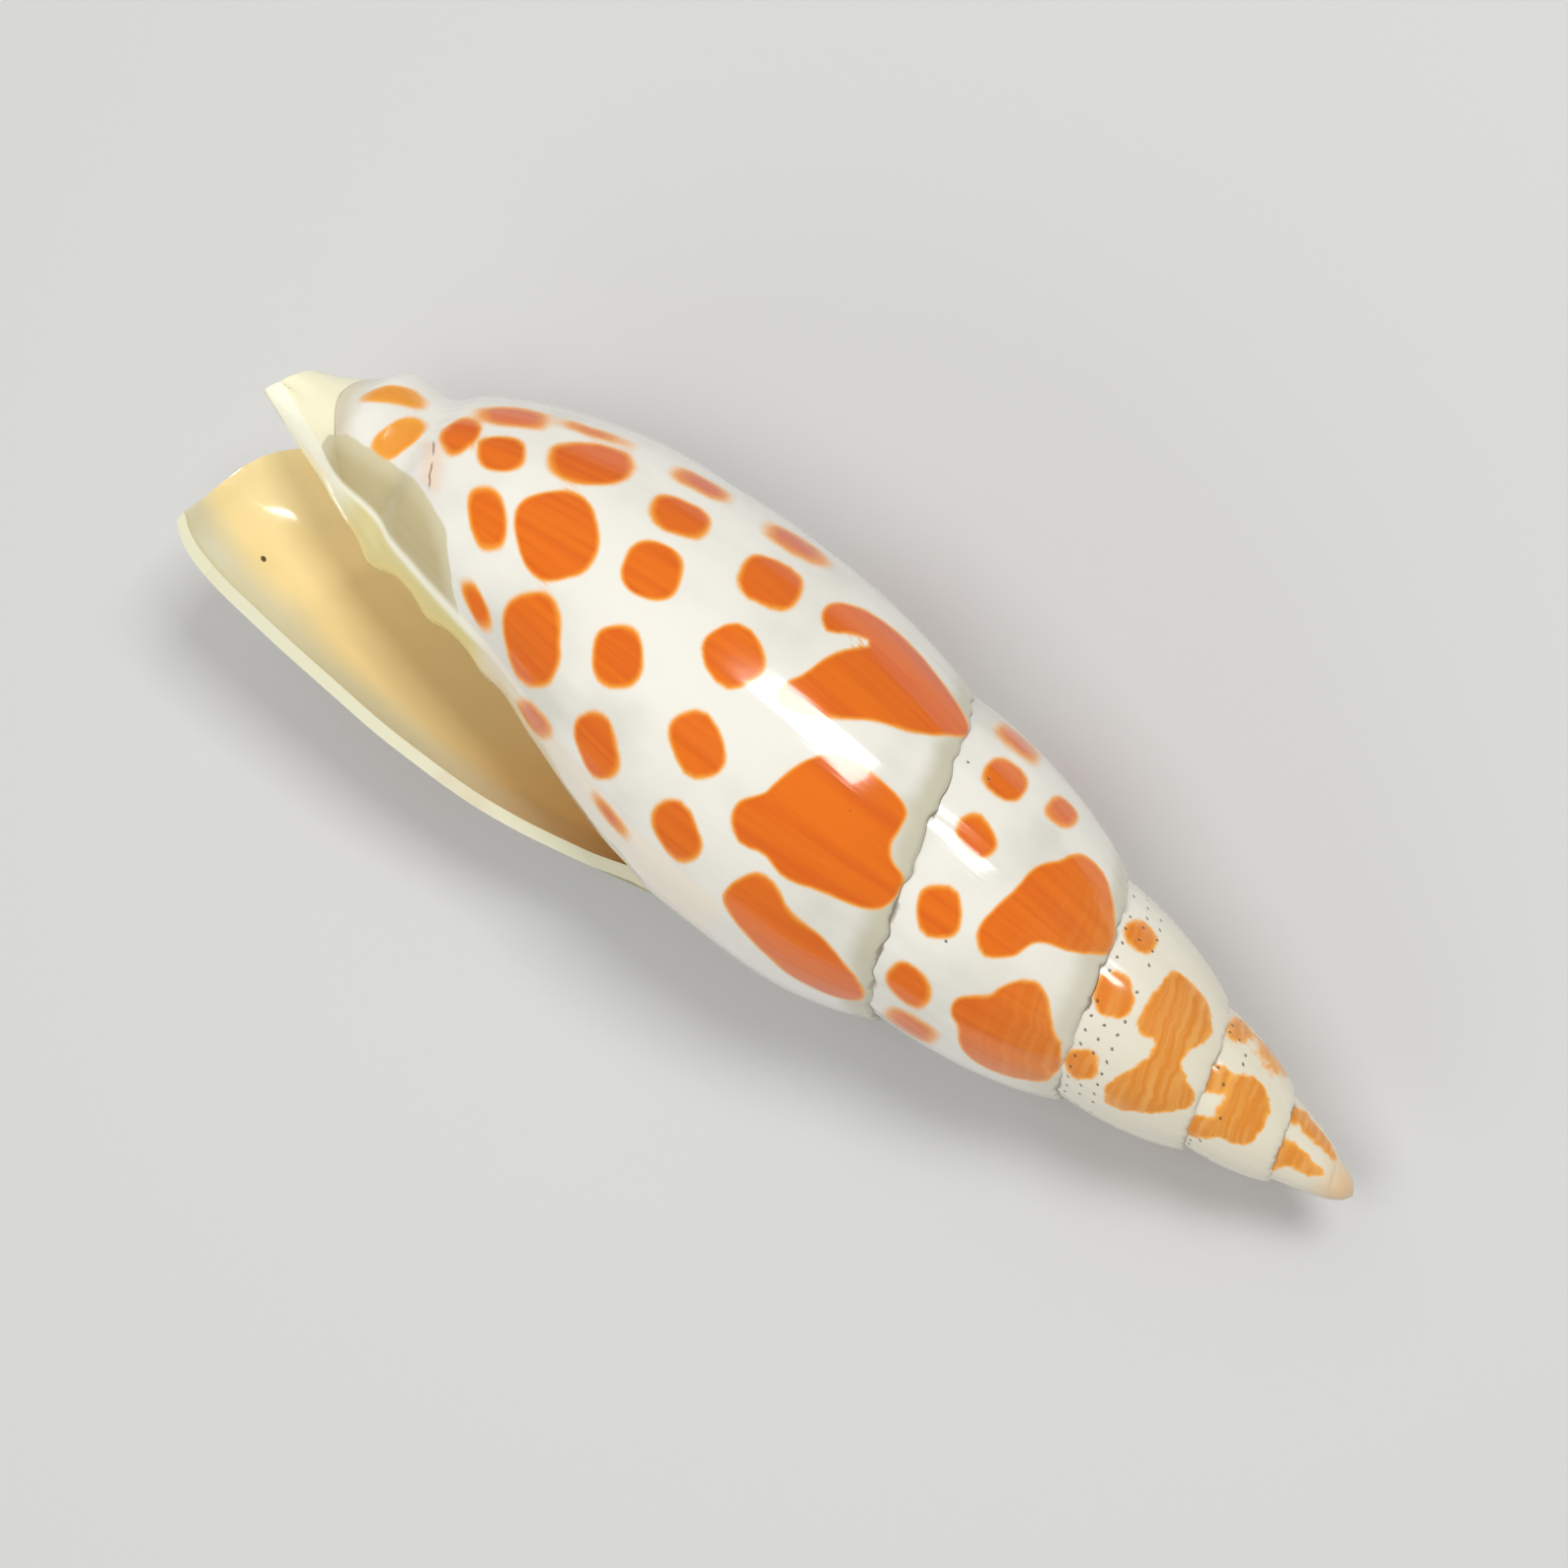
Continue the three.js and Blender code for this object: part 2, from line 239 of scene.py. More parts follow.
class SpiralShell:
    # the growth rule of the shell, as numbers that vary over a sheet; turn 0 is the lip
    def __init__(self, form, group=None):
        self.form = form
        self.group = group

    def suture(self, turn):
        form = self.form
        centre = form["sutureReach"] * form["growthPerTurn"] ** -form["turns"] - form["tipStart"]
        spiral = form["sutureReach"] * form["growthPerTurn"] ** turn - centre
        wander = 0
        for perTurn, share, start in shellForm["wanderWaves"]:
            wander = share * mathNode(turn.tree, "SINE", turn * (2 * math.pi * perTurn) + start) + wander
        started = ease(turn, -form["turns"], 1 - form["turns"])
        spiral = spiral + form["sutureWander"] * wander * started * form["growthPerTurn"] ** turn
        lift = form["mouthLift"] * ease(turn, shellForm["liftFrom"], 0)
        return mathNode(turn.tree, "MAXIMUM", 0, spiral - lift)

    def spireRadius(self, distance):
        # a rounded tip, an almost straight taper, then a slight easing off
        length = limit(distance / mm, 1e-6, 500)
        risen = 1 - math.e ** (length / -shellForm["tipRise"])
        tipRound = shellForm["tipRounding"] * risen * math.e ** (length / -shellForm["tipFall"])
        taper = shellForm["spireWidth"] * length ** shellForm["spirePower"]
        return (taper + tipRound - ease(length, shellForm["easeFrom"], shellForm["easeTo"])) * mm

    def frontEnd(self, turn):
        form = self.form
        dip = bell((turn - form["notchTurn"]) / form["notchSpread"])
        return form["length"] - form["notchDepth"] * dip

    def folds(self, turn, distance):
        # round folds that wind back along the pillar into the shell
        form = self.form
        centre = form["sutureReach"] * form["growthPerTurn"] ** -form["turns"] - form["tipStart"]
        height = None
        for place in form["foldPlaces"]:
            top = (place + centre) * form["growthPerTurn"] ** turn - centre
            fold = form["foldHeight"] * bell((distance - top) / form["foldWidth"])
            height = fold if height is None else height + fold
        return height

    def spireOutside(self, turn, share):
        form = self.form
        start = self.suture(turn)
        height = self.suture(turn + 1) - start
        grown = ease(turn, -form["turns"], -form["turns"] + shellForm["bulgeTurns"])
        curve = 4 * share ** shellForm["bulgeSkew"] * (1 - share) * form["whorlBulge"] * height * grown
        rise = 1 - math.e ** (share * height / -shellForm["stepRounding"])
        step = form["sutureStep"] * (1 - share) * grown * rise
        return self.spireRadius(start + share * height) + curve + step

    def blendTurn(self, turn, pillar, back, lip):
        # runs in a curve through the three outlines of the last whorl
        pillarPart = 2 * turn * (turn + 0.5) * pillar
        backPart = -4 * turn * (turn + 1) * back
        lipPart = 2 * (turn + 0.5) * (turn + 1) * lip
        return pillarPart + backPart + lipPart

    def bodyOutside(self, turn, distance):
        form = self.form
        start = self.suture(turn)
        share = limit((distance - start) / (self.frontEnd(turn) - start), 0, 1)
        outlines = (outlineAtPillar, outlineAtBack, outlineAtLip)
        blended = self.blendTurn(turn, *[outlineHeight(outline, share) for outline in outlines])
        edge = self.blendTurn(turn, *[outline[0][1] * mm for outline in outlines])
        rise = 1 - math.e ** ((distance - start) / -shellForm["stepRounding"])
        joined = self.spireRadius(start) + form["sutureStep"] * rise - edge
        nearMouth = 1 - ease(turn, -1, shellForm["foldsEnd"])
        atMouth = self.folds(turn * 0, distance)
        return blended + joined * (1 - ease(share, 0, shellForm["joinShare"])) + nearMouth * atMouth

    def outsideSum(self, turn, distance):
        # the last whorl grows out of the spire without a jump
        start = self.suture(turn)
        end = self.suture(turn + 1)
        share = limit((distance - start) / (end - start), 0, 1)
        past = ease(distance - end, 0, shellForm["joinReach"])
        fromSpire = (1 - ease(turn, -1, shellForm["joinTurn"])) * (1 - past)
        return mix(self.bodyOutside(turn, distance), self.spireOutside(turn, share), fromSpire)

    def outside(self, turn, distance):
        # the same sum, kept in a group of its own and used in several places
        def make():
            node = turn.tree.nodes.new("GeometryNodeGroup")
            node.node_tree = self.group
            for name, value in {"turn": turn, "distance": distance, **self.form}.items():
                if name in node.inputs:
                    plug(turn.tree, value, node.inputs[name])
            return node
        return remembered(turn.tree, "outside", (turn, distance), make)

    def mouthInside(self, turn, distance):
        # the pillar and the older whorl, which bound the mouth on the inside
        before = limit(turn, 0, 1) - 1
        narrowing = 1 + shellForm["mouthNarrowing"] * limit(turn, -1, 0)
        plain = self.outside(before, distance) - self.folds(turn * 0, distance)
        gap = shellForm["lipGap"] * ease(turn, 0, shellForm["lipGapTurn"])
        return plain * narrowing + self.folds(limit(turn, -1, 0), distance) + gap

    def mouthOutside(self, turn, distance):
        form = self.form
        inner = self.mouthInside(turn, distance)
        held = mathNode(turn.tree, "MINIMUM", distance, self.frontEnd(turn))
        wall = mix(form["bodyWall"], form["lipWall"], ease(turn, *shellForm["wallFade"]))
        outer = self.outside(limit(turn, -1, 0), held) - wall
        return mathNode(turn.tree, "MAXIMUM", inner + shellForm["leastOpening"], outer)


def sizeSockets(tree, form, names):
    # one named input for each size, and the same sizes as varying numbers
    sizes = {}
    for name in names:
        socket = tree.interface.new_socket(name, in_out="INPUT", socket_type="NodeSocketFloat")
        sizes[name] = (socket.identifier, form.get(name, 0))
    given = tree.nodes.new("NodeGroupInput")
    varying = {name: Amount(tree, given.outputs[name]) for name in names}
    varying["foldPlaces"] = form["foldPlaces"]
    return sizes, given, varying


def outsideGroup(form):
    tree = bpy.data.node_groups.new("whorl radius", "GeometryNodeTree")
    tree.interface.new_socket("radius", in_out="OUTPUT", socket_type="NodeSocketFloat")
    names = (
        "turn", "distance", "length", "turns", "tipStart", "growthPerTurn", "sutureReach", "mouthLift",
        "sutureStep", "sutureWander", "whorlBulge", "notchDepth", "notchTurn", "notchSpread", "foldHeight",
        "foldWidth",
    )
    _, _, varying = sizeSockets(tree, form, names)
    radius = SpiralShell(varying).outsideSum(varying["turn"], varying["distance"])
    output = tree.nodes.new("NodeGroupOutput")
    tree.links.new(radius.socket, output.inputs[0])
    return tree


def spiralTree(form, material):
    # the tree that grows the shell: an outside in sheets, less the hollow behind the mouth
    tree = bpy.data.node_groups.new("shell spiral", "GeometryNodeTree")
    tree.interface.new_socket("Geometry", in_out="OUTPUT", socket_type="NodeSocketGeometry")
    slot = tree.interface.new_socket("material", in_out="INPUT", socket_type="NodeSocketMaterial")
    names = [name for name, value in form.items() if isinstance(value, float)]
    sizes, given, varying = sizeSockets(tree, form, names)
    sizes["material"] = (slot.identifier, material)
    shell = SpiralShell(varying, outsideGroup(form))

    place = tree.nodes.new("ShaderNodeSeparateXYZ")
    position = tree.nodes.new("GeometryNodeInputPosition")
    tree.links.new(position.outputs[0], place.inputs[0])
    across = Amount(tree, place.outputs["X"]) + 0.5
    along = Amount(tree, place.outputs["Y"]) + 0.5
    perTurn = form["columnsPerTurn"]
    whorlRows = form["whorlRows"]
    baseRows = form["baseRows"]

    def countOf(share, steps):
        return mathNode(tree, "ROUND", share * steps)

    def pointAt(turnShare, distance, radius):
        # the front tip is cut slantwise, so its far side falls short
        angle = varying["lipAngle"] + 2 * math.pi * turnShare
        sideways = radius * mathNode(tree, "SINE", angle)
        slanted = mathNode(tree, "MAXIMUM", 0, sideways - varying["slantLine"])
        short = varying["frontSlant"] * slanted * ease(distance, varying["slantFrom"], varying["length"])
        point = tree.nodes.new("ShaderNodeCombineXYZ")
        plug(tree, short - distance, point.inputs["X"])
        plug(tree, sideways, point.inputs["Y"])
        plug(tree, radius * mathNode(tree, "COSINE", angle), point.inputs["Z"])
        return point.outputs[0]

    def sheet(columns, rows, placed, inMouth):
        grid = tree.nodes.new("GeometryNodeMeshGrid")
        grid.inputs["Vertices X"].default_value = columns + 1
        grid.inputs["Vertices Y"].default_value = rows + 1
        setPlace = tree.nodes.new("GeometryNodeSetPosition")
        tree.links.new(grid.outputs["Mesh"], setPlace.inputs["Geometry"])
        tree.links.new(placed, setPlace.inputs["Position"])
        mark = tree.nodes.new("GeometryNodeStoreNamedAttribute")
        mark.data_type = "FLOAT"
        mark.domain = "FACE"
        mark.inputs["Name"].default_value = "inMouth"
        mark.inputs["Value"].default_value = inMouth
        tree.links.new(setPlace.outputs["Geometry"], mark.inputs["Geometry"])
        return mark.outputs["Geometry"]

    def columnOf(column):
        # the turn of a column counted from the lip, and its share of a full turn
        turnShare = mathNode(tree, "FLOORED_MODULO", column, perTurn) / perTurn
        return column / perTurn, turnShare

    def crowd(share, turn):
        # rows crowd to the suture, but are even on the first turn
        evenness = 1 - form["rowCrowding"] * ease(turn, -form["turns"], 1 - form["turns"])
        return share * (evenness + (1 - evenness) * share)

    def rowPlace(turn, row):
        # distance of a row; the last row is the front tip
        share = limit(row / whorlRows, 0, 1)
        crowded = crowd(share, turn)
        past = limit((row - whorlRows) / baseRows, 0, 1)
        closing = limit(row - whorlRows - baseRows, 0, 1)
        start = shell.suture(turn)
        end = shell.suture(turn + 1)
        whorl = start + crowded * (end - start)
        distance = whorl + past * (shell.frontEnd(turn) - end)
        return mix(distance, varying["frontTip"], closing), distance, closing

    def bodySheet():
        rows = whorlRows + baseRows + 1
        turn, turnShare = columnOf(countOf(across, perTurn) - perTurn)
        shown, distance, closing = rowPlace(turn, countOf(along, rows))
        radius = shell.outside(turn, distance) * (1 - closing)
        return sheet(perTurn, rows, pointAt(turnShare, shown, radius), 0)

    def spireSheet():
        columns = round((form["turns"] - 1) * perTurn)
        turn, turnShare = columnOf(countOf(across, columns) - round(form["turns"] * perTurn))
        crowded = crowd(countOf(along, whorlRows) / whorlRows, turn)
        start = shell.suture(turn)
        distance = start + crowded * (shell.suture(turn + 1) - start)
        radius = shell.spireOutside(turn, crowded)
        return sheet(columns, whorlRows, pointAt(turnShare, distance, radius), 0)

    def tipSheet():
        # a small round cap, then rows that reach out to the first suture as it winds away
        capRows = 3
        turn, turnShare = columnOf(countOf(across, perTurn) - round(form["turns"] * perTurn))
        row = countOf(along, whorlRows + capRows)
        cap = limit(row / capRows, 0, 1) * varying["tipStart"]
        past = limit((row - capRows) / whorlRows, 0, 1)
        distance = cap + past * (shell.suture(turn) - varying["tipStart"])
        radius = shell.spireRadius(distance)
        return sheet(perTurn, whorlRows + capRows, pointAt(turnShare, distance, radius), 0)

    def lipSheet():
        # closes the mouth in the plane of the lip; the hollow then opens it
        rows = whorlRows + baseRows + 1
        row = countOf(along, rows)
        toPillar = countOf(across, 1)
        held = mathNode(tree, "MAXIMUM", row, whorlRows)
        zero = across * 0
        lipShown, lipDistance, closing = rowPlace(zero, row)
        pillarShown, pillarDistance, _ = rowPlace(zero - 1, held)
        lipRadius = shell.outside(zero, lipDistance) * (1 - closing)
        pillarRadius = shell.outside(zero - 1, pillarDistance) * (1 - closing)
        distance = mix(lipShown, pillarShown, toPillar)
        radius = mix(lipRadius, pillarRadius, toPillar)
        return sheet(1, rows, pointAt(zero, distance, radius), 0)

    def hollowSheet():
        columns = form["mouthColumns"]
        rows = form["mouthRows"]
        column = countOf(across, columns + 1)
        reach = limit(column / columns, 0, 1)
        closing = limit(column - columns, 0, 1)
        turn = mix(varying["mouthDeepest"], varying["mouthFront"], reach)
        step = countOf(along, 2 * rows + 1)
        onPillar = mathNode(tree, "GREATER_THAN", step, rows + 0.5)
        share = mix(step, 2 * rows + 1 - step, onPillar) / rows
        start = shell.suture(turn) + varying["mouthStart"]
        short = form["hollowShort"] * (1 - ease(turn, *form["shortFade"]))
        end = varying["length"] + form["hollowPast"] - short
        distance = mix(start, end, share)
        bite = 1 - limit(share / form["hollowCorner"], 0, 1)
        opened = mathNode(tree, "SQRT", 1 - bite * bite)
        inner = shell.mouthInside(turn, distance)
        outer = shell.mouthOutside(turn, distance)
        middle = (inner + outer) / 2
        side = mix(outer, inner, onPillar)
        radius = mix(middle, side, opened * (1 - closing))
        depth = 1 - limit((turn - varying["mouthDeepest"]) / varying["mouthTaper"], 0, 1)
        size = mathNode(tree, "SQRT", 1 - depth * depth)
        centre = mix(start, end, 0.5)
        centreRadius = (shell.mouthInside(turn, centre) + shell.mouthOutside(turn, centre)) / 2
        shownDistance = mix(centre, distance, size)
        shownRadius = mix(centreRadius, radius, size)
        return sheet(columns + 1, 2 * rows + 1, pointAt(turn, shownDistance, shownRadius), 1)

    def weld(sheets):
        joined = tree.nodes.new("GeometryNodeJoinGeometry")
        for made in sheets:
            tree.links.new(made, joined.inputs[0])
        merge = tree.nodes.new("GeometryNodeMergeByDistance")
        merge.inputs["Distance"].default_value = form["weldReach"]
        tree.links.new(joined.outputs[0], merge.inputs["Geometry"])
        return merge.outputs["Geometry"]

    outside = weld([bodySheet(), spireSheet(), tipSheet(), lipSheet()])
    hollow = weld([hollowSheet()])
    cut = tree.nodes.new("GeometryNodeMeshBoolean")
    cut.operation = "DIFFERENCE"
    cut.solver = "MANIFOLD"
    tree.links.new(outside, cut.inputs["Mesh 1"])
    tree.links.new(hollow, cut.inputs["Mesh 2"])
    realize = tree.nodes.new("GeometryNodeRealizeInstances")
    tree.links.new(cut.outputs["Mesh"], realize.inputs[0])
    paint = tree.nodes.new("GeometryNodeSetMaterial")
    tree.links.new(realize.outputs[0], paint.inputs["Geometry"])
    tree.links.new(given.outputs["material"], paint.inputs["Material"])
    output = tree.nodes.new("NodeGroupOutput")
    tree.links.new(paint.outputs["Geometry"], output.inputs[0])
    return tree, sizes


def growShell(form, material):
    # runs the tree once and keeps its result as a plain mesh
    tree, sizes = spiralTree(form, material)
    seedMesh = bpy.data.meshes.new("seed")
    seed = bpy.data.objects.new("seed", seedMesh)
    bpy.context.collection.objects.link(seed)
    modifier = seed.modifiers.new("shell spiral", "NODES")
    modifier.node_group = tree
    for identifier, value in sizes.values():
        modifier[identifier] = value
    seed.update_tag()
    graph = bpy.context.evaluated_depsgraph_get()
    mesh = bpy.data.meshes.new_from_object(seed.evaluated_get(graph))
    seed.modifiers.remove(modifier)
    bpy.data.objects.remove(seed)
    return mesh


# Where the camera stood, as seen from the shell: lengths in metres, angles in radians.
photoView = {
    "size": 1588,
    "pixelsPerMetre": 12530,
    "distance": 0.25,
    "towardsTip": math.radians(5.4),
    "axisAngle": math.radians(-37.25),
    "centreAlong": 55.8 * mm,
    "centreAcross": -1.28 * mm,
}


def restPlace(mesh):
    # lays the shell on its back and sets it down where the frame's shell lies
    low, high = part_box("shell")
    turned = Matrix.Rotation(shellForm["restTilt"], 4, "Y")
    mesh.transform(turned)
    points = pointsOf(mesh)
    least = points.min(axis=0)
    most = points.max(axis=0)
    shift = Vector((high[0] - most[0], -(least[1] + most[1]) / 2, -(least[2] + shellForm["flatDepth"])))
    points = points + np.array(shift)
    points[:, 2] = np.maximum(points[:, 2], low[2])
    mesh.vertices.foreach_set("co", points.astype(np.float32).ravel())
    mesh.update()
    return Matrix.Translation(shift) @ turned


def pointsOf(mesh):
    points = np.empty(len(mesh.vertices) * 3, dtype=np.float32)
    mesh.vertices.foreach_get("co", points)
    return points.reshape(-1, 3).astype(float)


def makeCamera(rest):
    view = photoView
    data = bpy.data.cameras.new("photo view")
    data.sensor_width = 36
    data.lens = view["pixelsPerMetre"] * view["distance"] * data.sensor_width / view["size"]
    data.clip_start = 0.01
    data.clip_end = 10
    camera = bpy.data.objects.new("photo view", data)
    bpy.context.collection.objects.link(camera)
    tilt = view["towardsTip"]
    along = Vector((math.cos(tilt), 0, -math.sin(tilt)))
    back = Vector((math.sin(tilt), 0, math.cos(tilt)))
    across = Vector((0, 1, 0))
    turned = view["axisAngle"]
    right = math.cos(turned) * along - math.sin(turned) * across
    up = math.sin(turned) * along + math.cos(turned) * across
    place = Vector((-view["centreAlong"], view["centreAcross"], 0)) + view["distance"] * back
    local = Matrix((right, up, back)).transposed().to_4x4()
    local.translation = place
    camera.matrix_world = rest @ local
    bpy.context.scene.camera = camera
    return camera


def smooth(share):
    # the same rise as ease makes, on an array
    held = np.clip(share, 0, 1)
    return held * held * (3 - 2 * held)


def sutureOf(turn):
    # the same line as SpiralShell.suture draws
    form = shellForm
    centre = form["sutureReach"] * form["growthPerTurn"] ** -form["turns"] - form["tipStart"]
    lift = smooth((turn - form["liftFrom"]) / -form["liftFrom"])
    grown = form["growthPerTurn"] ** turn
    wander = 0
    for perTurn, share, start in form["wanderWaves"]:
        wander = wander + share * np.sin(2 * math.pi * perTurn * turn + start)
    wander = wander * smooth(turn + form["turns"])
    spiral = (form["sutureReach"] + form["sutureWander"] * wander) * grown - centre
    return np.maximum(0, spiral - form["mouthLift"] * lift)


def whereOnShell(points, rest):
    # turn and distance along the axis of points on the outside, and their radius
    local = (np.array(rest.inverted()) @ np.c_[points, np.ones(len(points))].T).T[:, :3]
    distance = -local[:, 0]
    form = shellForm
    for _ in range(4):
        share = smooth((distance - form["slantFrom"]) / (form["length"] - form["slantFrom"]))
        slanted = np.maximum(0, local[:, 1] - form["slantLine"]) * share
        distance = -local[:, 0] + form["frontSlant"] * slanted
    radius = np.hypot(local[:, 1], local[:, 2])
    angle = np.arctan2(local[:, 1], local[:, 2])
    turn = np.mod((angle - shellForm["lipAngle"]) / (2 * math.pi), 1) - 1
    for _ in range(5):
        turn = np.where(distance < sutureOf(turn), turn - 1, turn)
    return turn, distance, radius


def cornersOf(mesh, rest):
    # each corner of each face keeps to its face's whorl, so the pattern may jump at a suture
    count = len(mesh.loops)
    owner = np.empty(count, dtype=np.int32)
    mesh.loops.foreach_get("vertex_index", owner)
    starts = np.empty(len(mesh.polygons), dtype=np.int32)
    totals = np.empty(len(mesh.polygons), dtype=np.int32)
    mesh.polygons.foreach_get("loop_start", starts)
    mesh.polygons.foreach_get("loop_total", totals)
    faceOf = np.repeat(np.arange(len(starts)), totals)
    centres = np.empty(len(starts) * 3, dtype=np.float32)
    mesh.polygons.foreach_get("center", centres)
    faceTurn, _, _ = whereOnShell(centres.reshape(-1, 3).astype(float), rest)
    cornerTurn, distance, radius = whereOnShell(pointsOf(mesh)[owner], rest)
    away = cornerTurn - faceTurn[faceOf]
    cornerTurn = faceTurn[faceOf] + away - np.round(away)
    zone = np.empty(len(starts), dtype=np.float32)
    mesh.attributes["inMouth"].data.foreach_get("value", zone)
    return {"turn": cornerTurn, "distance": distance, "radius": radius, "zone": zone[faceOf]}


def photoPixel(camera, points):
    # where points show in the photograph, in its own pixels
    view = photoView
    local = (np.array(camera.matrix_world.inverted()) @ np.c_[points, np.ones(len(points))].T).T
    scale = view["pixelsPerMetre"] * view["distance"] / -local[:, 2]
    half = view["size"] / 2
    return np.c_[half + local[:, 0] * scale, half - local[:, 1] * scale]


class PatchPlacer:
    # finds the place on the shell of a patch that was read off the photograph
    def __init__(self, mesh, rest, camera):
        self.tree = BVHTree.FromPolygons([v.co for v in mesh.vertices], [p.vertices for p in mesh.polygons])
        self.rest = rest
        self.camera = camera

    def surfacePoint(self, turn, distance):
        angle = shellForm["lipAngle"] + 2 * math.pi * turn
        outward = Vector((0, math.sin(angle), math.cos(angle)))
        middle = Vector((-distance, 0, 0))
        wellOutside = 40 * mm
        start = self.rest @ (middle + outward * wellOutside)
        aim = (self.rest @ middle - start).normalized()
        hit = self.tree.ray_cast(start, aim)[0]
        return np.array(hit if hit else self.rest @ middle)

    def onPixel(self, x, y):
        view = photoView
        half = view["size"] / 2
        scale = view["pixelsPerMetre"] * view["distance"]
        aim = Vector(((x - half) / scale, -(y - half) / scale, -1))
        aim = (self.camera.matrix_world.to_3x3() @ aim).normalized()
        hit = self.tree.ray_cast(self.camera.matrix_world.translation, aim)[0]
        if hit is None:
            return None
        turn, distance, _ = whereOnShell(np.array([hit]), self.rest)
        return turn[0], distance[0]

    def pixelSteps(self, turn, distance):
        # how far the pixel moves for one turn and for one metre along the axis
        turnStep = 0.004
        alongStep = 0.4 * mm
        here = self.surfacePoint(turn, distance)
        around = self.surfacePoint(turn + turnStep, distance)
        along = self.surfacePoint(turn, distance + alongStep)
        pixels = photoPixel(self.camera, np.array([here, around, along]))
        return np.c_[(pixels[1] - pixels[0]) / turnStep, (pixels[2] - pixels[0]) / alongStep]

    def surfaceSteps(self, turn, distance):
        # the same for patches on the hidden side, seen square on
        radius = np.linalg.norm(self.surfacePoint(turn, distance) - self.axisPoint(distance))
        return np.diag([2 * math.pi * radius, 1]) * photoView["pixelsPerMetre"]

    def axisPoint(self, distance):
        return np.array(self.rest @ Vector((-distance, 0, 0)))


# Orange marks read off the photograph, in its pixels: middle, half length, half width, and the
# direction of the length in degrees, clockwise from the right.
spotsOnBody = [
    (466, 440, 22, 15, -35), (508, 458, 25, 18, 0), (598, 468, 44, 20, 6), (602, 438, 34, 5, 18),
    (493, 524, 33, 19, 82), (563, 540, 45, 42, 80), (689, 523, 32, 18, 22), (661, 577, 31, 29, 20),
    (537, 649, 49, 29, 87), (625, 665, 33, 26, 90), (781, 589, 34, 24, 25), (712, 491, 32, 8, 27),
    (807, 551, 36, 9, 31), (743, 664, 32, 30, 60), (604, 756, 35, 20, 74), (706, 755, 36, 26, 70),
    (685, 843, 34, 21, 64), (540, 728, 24, 9, 51), (482, 612, 27, 9, 65), (617, 826, 26, 6, 50),
    (520, 421, 38, 9, 6), (398, 399, 36, 9, 5), (403, 443, 30, 15, -35),
]
spotsOnSpire = [
    (1019, 788, 24, 18, 35), (1076, 822, 18, 13, 40), (989, 847, 24, 18, 60), (951, 924, 28, 23, 90),
    (920, 999, 26, 18, 45), (1033, 751, 26, 8, 40), (922, 1040, 28, 10, 30), (1156, 948, 18, 14, 45),
    (1128, 1008, 24, 20, 90), (1095, 1078, 17, 16, 0), (1256, 1043, 13, 12, 0), (1231, 1093, 17, 15, 0),
    (1288, 1068, 24, 6, 55),
]
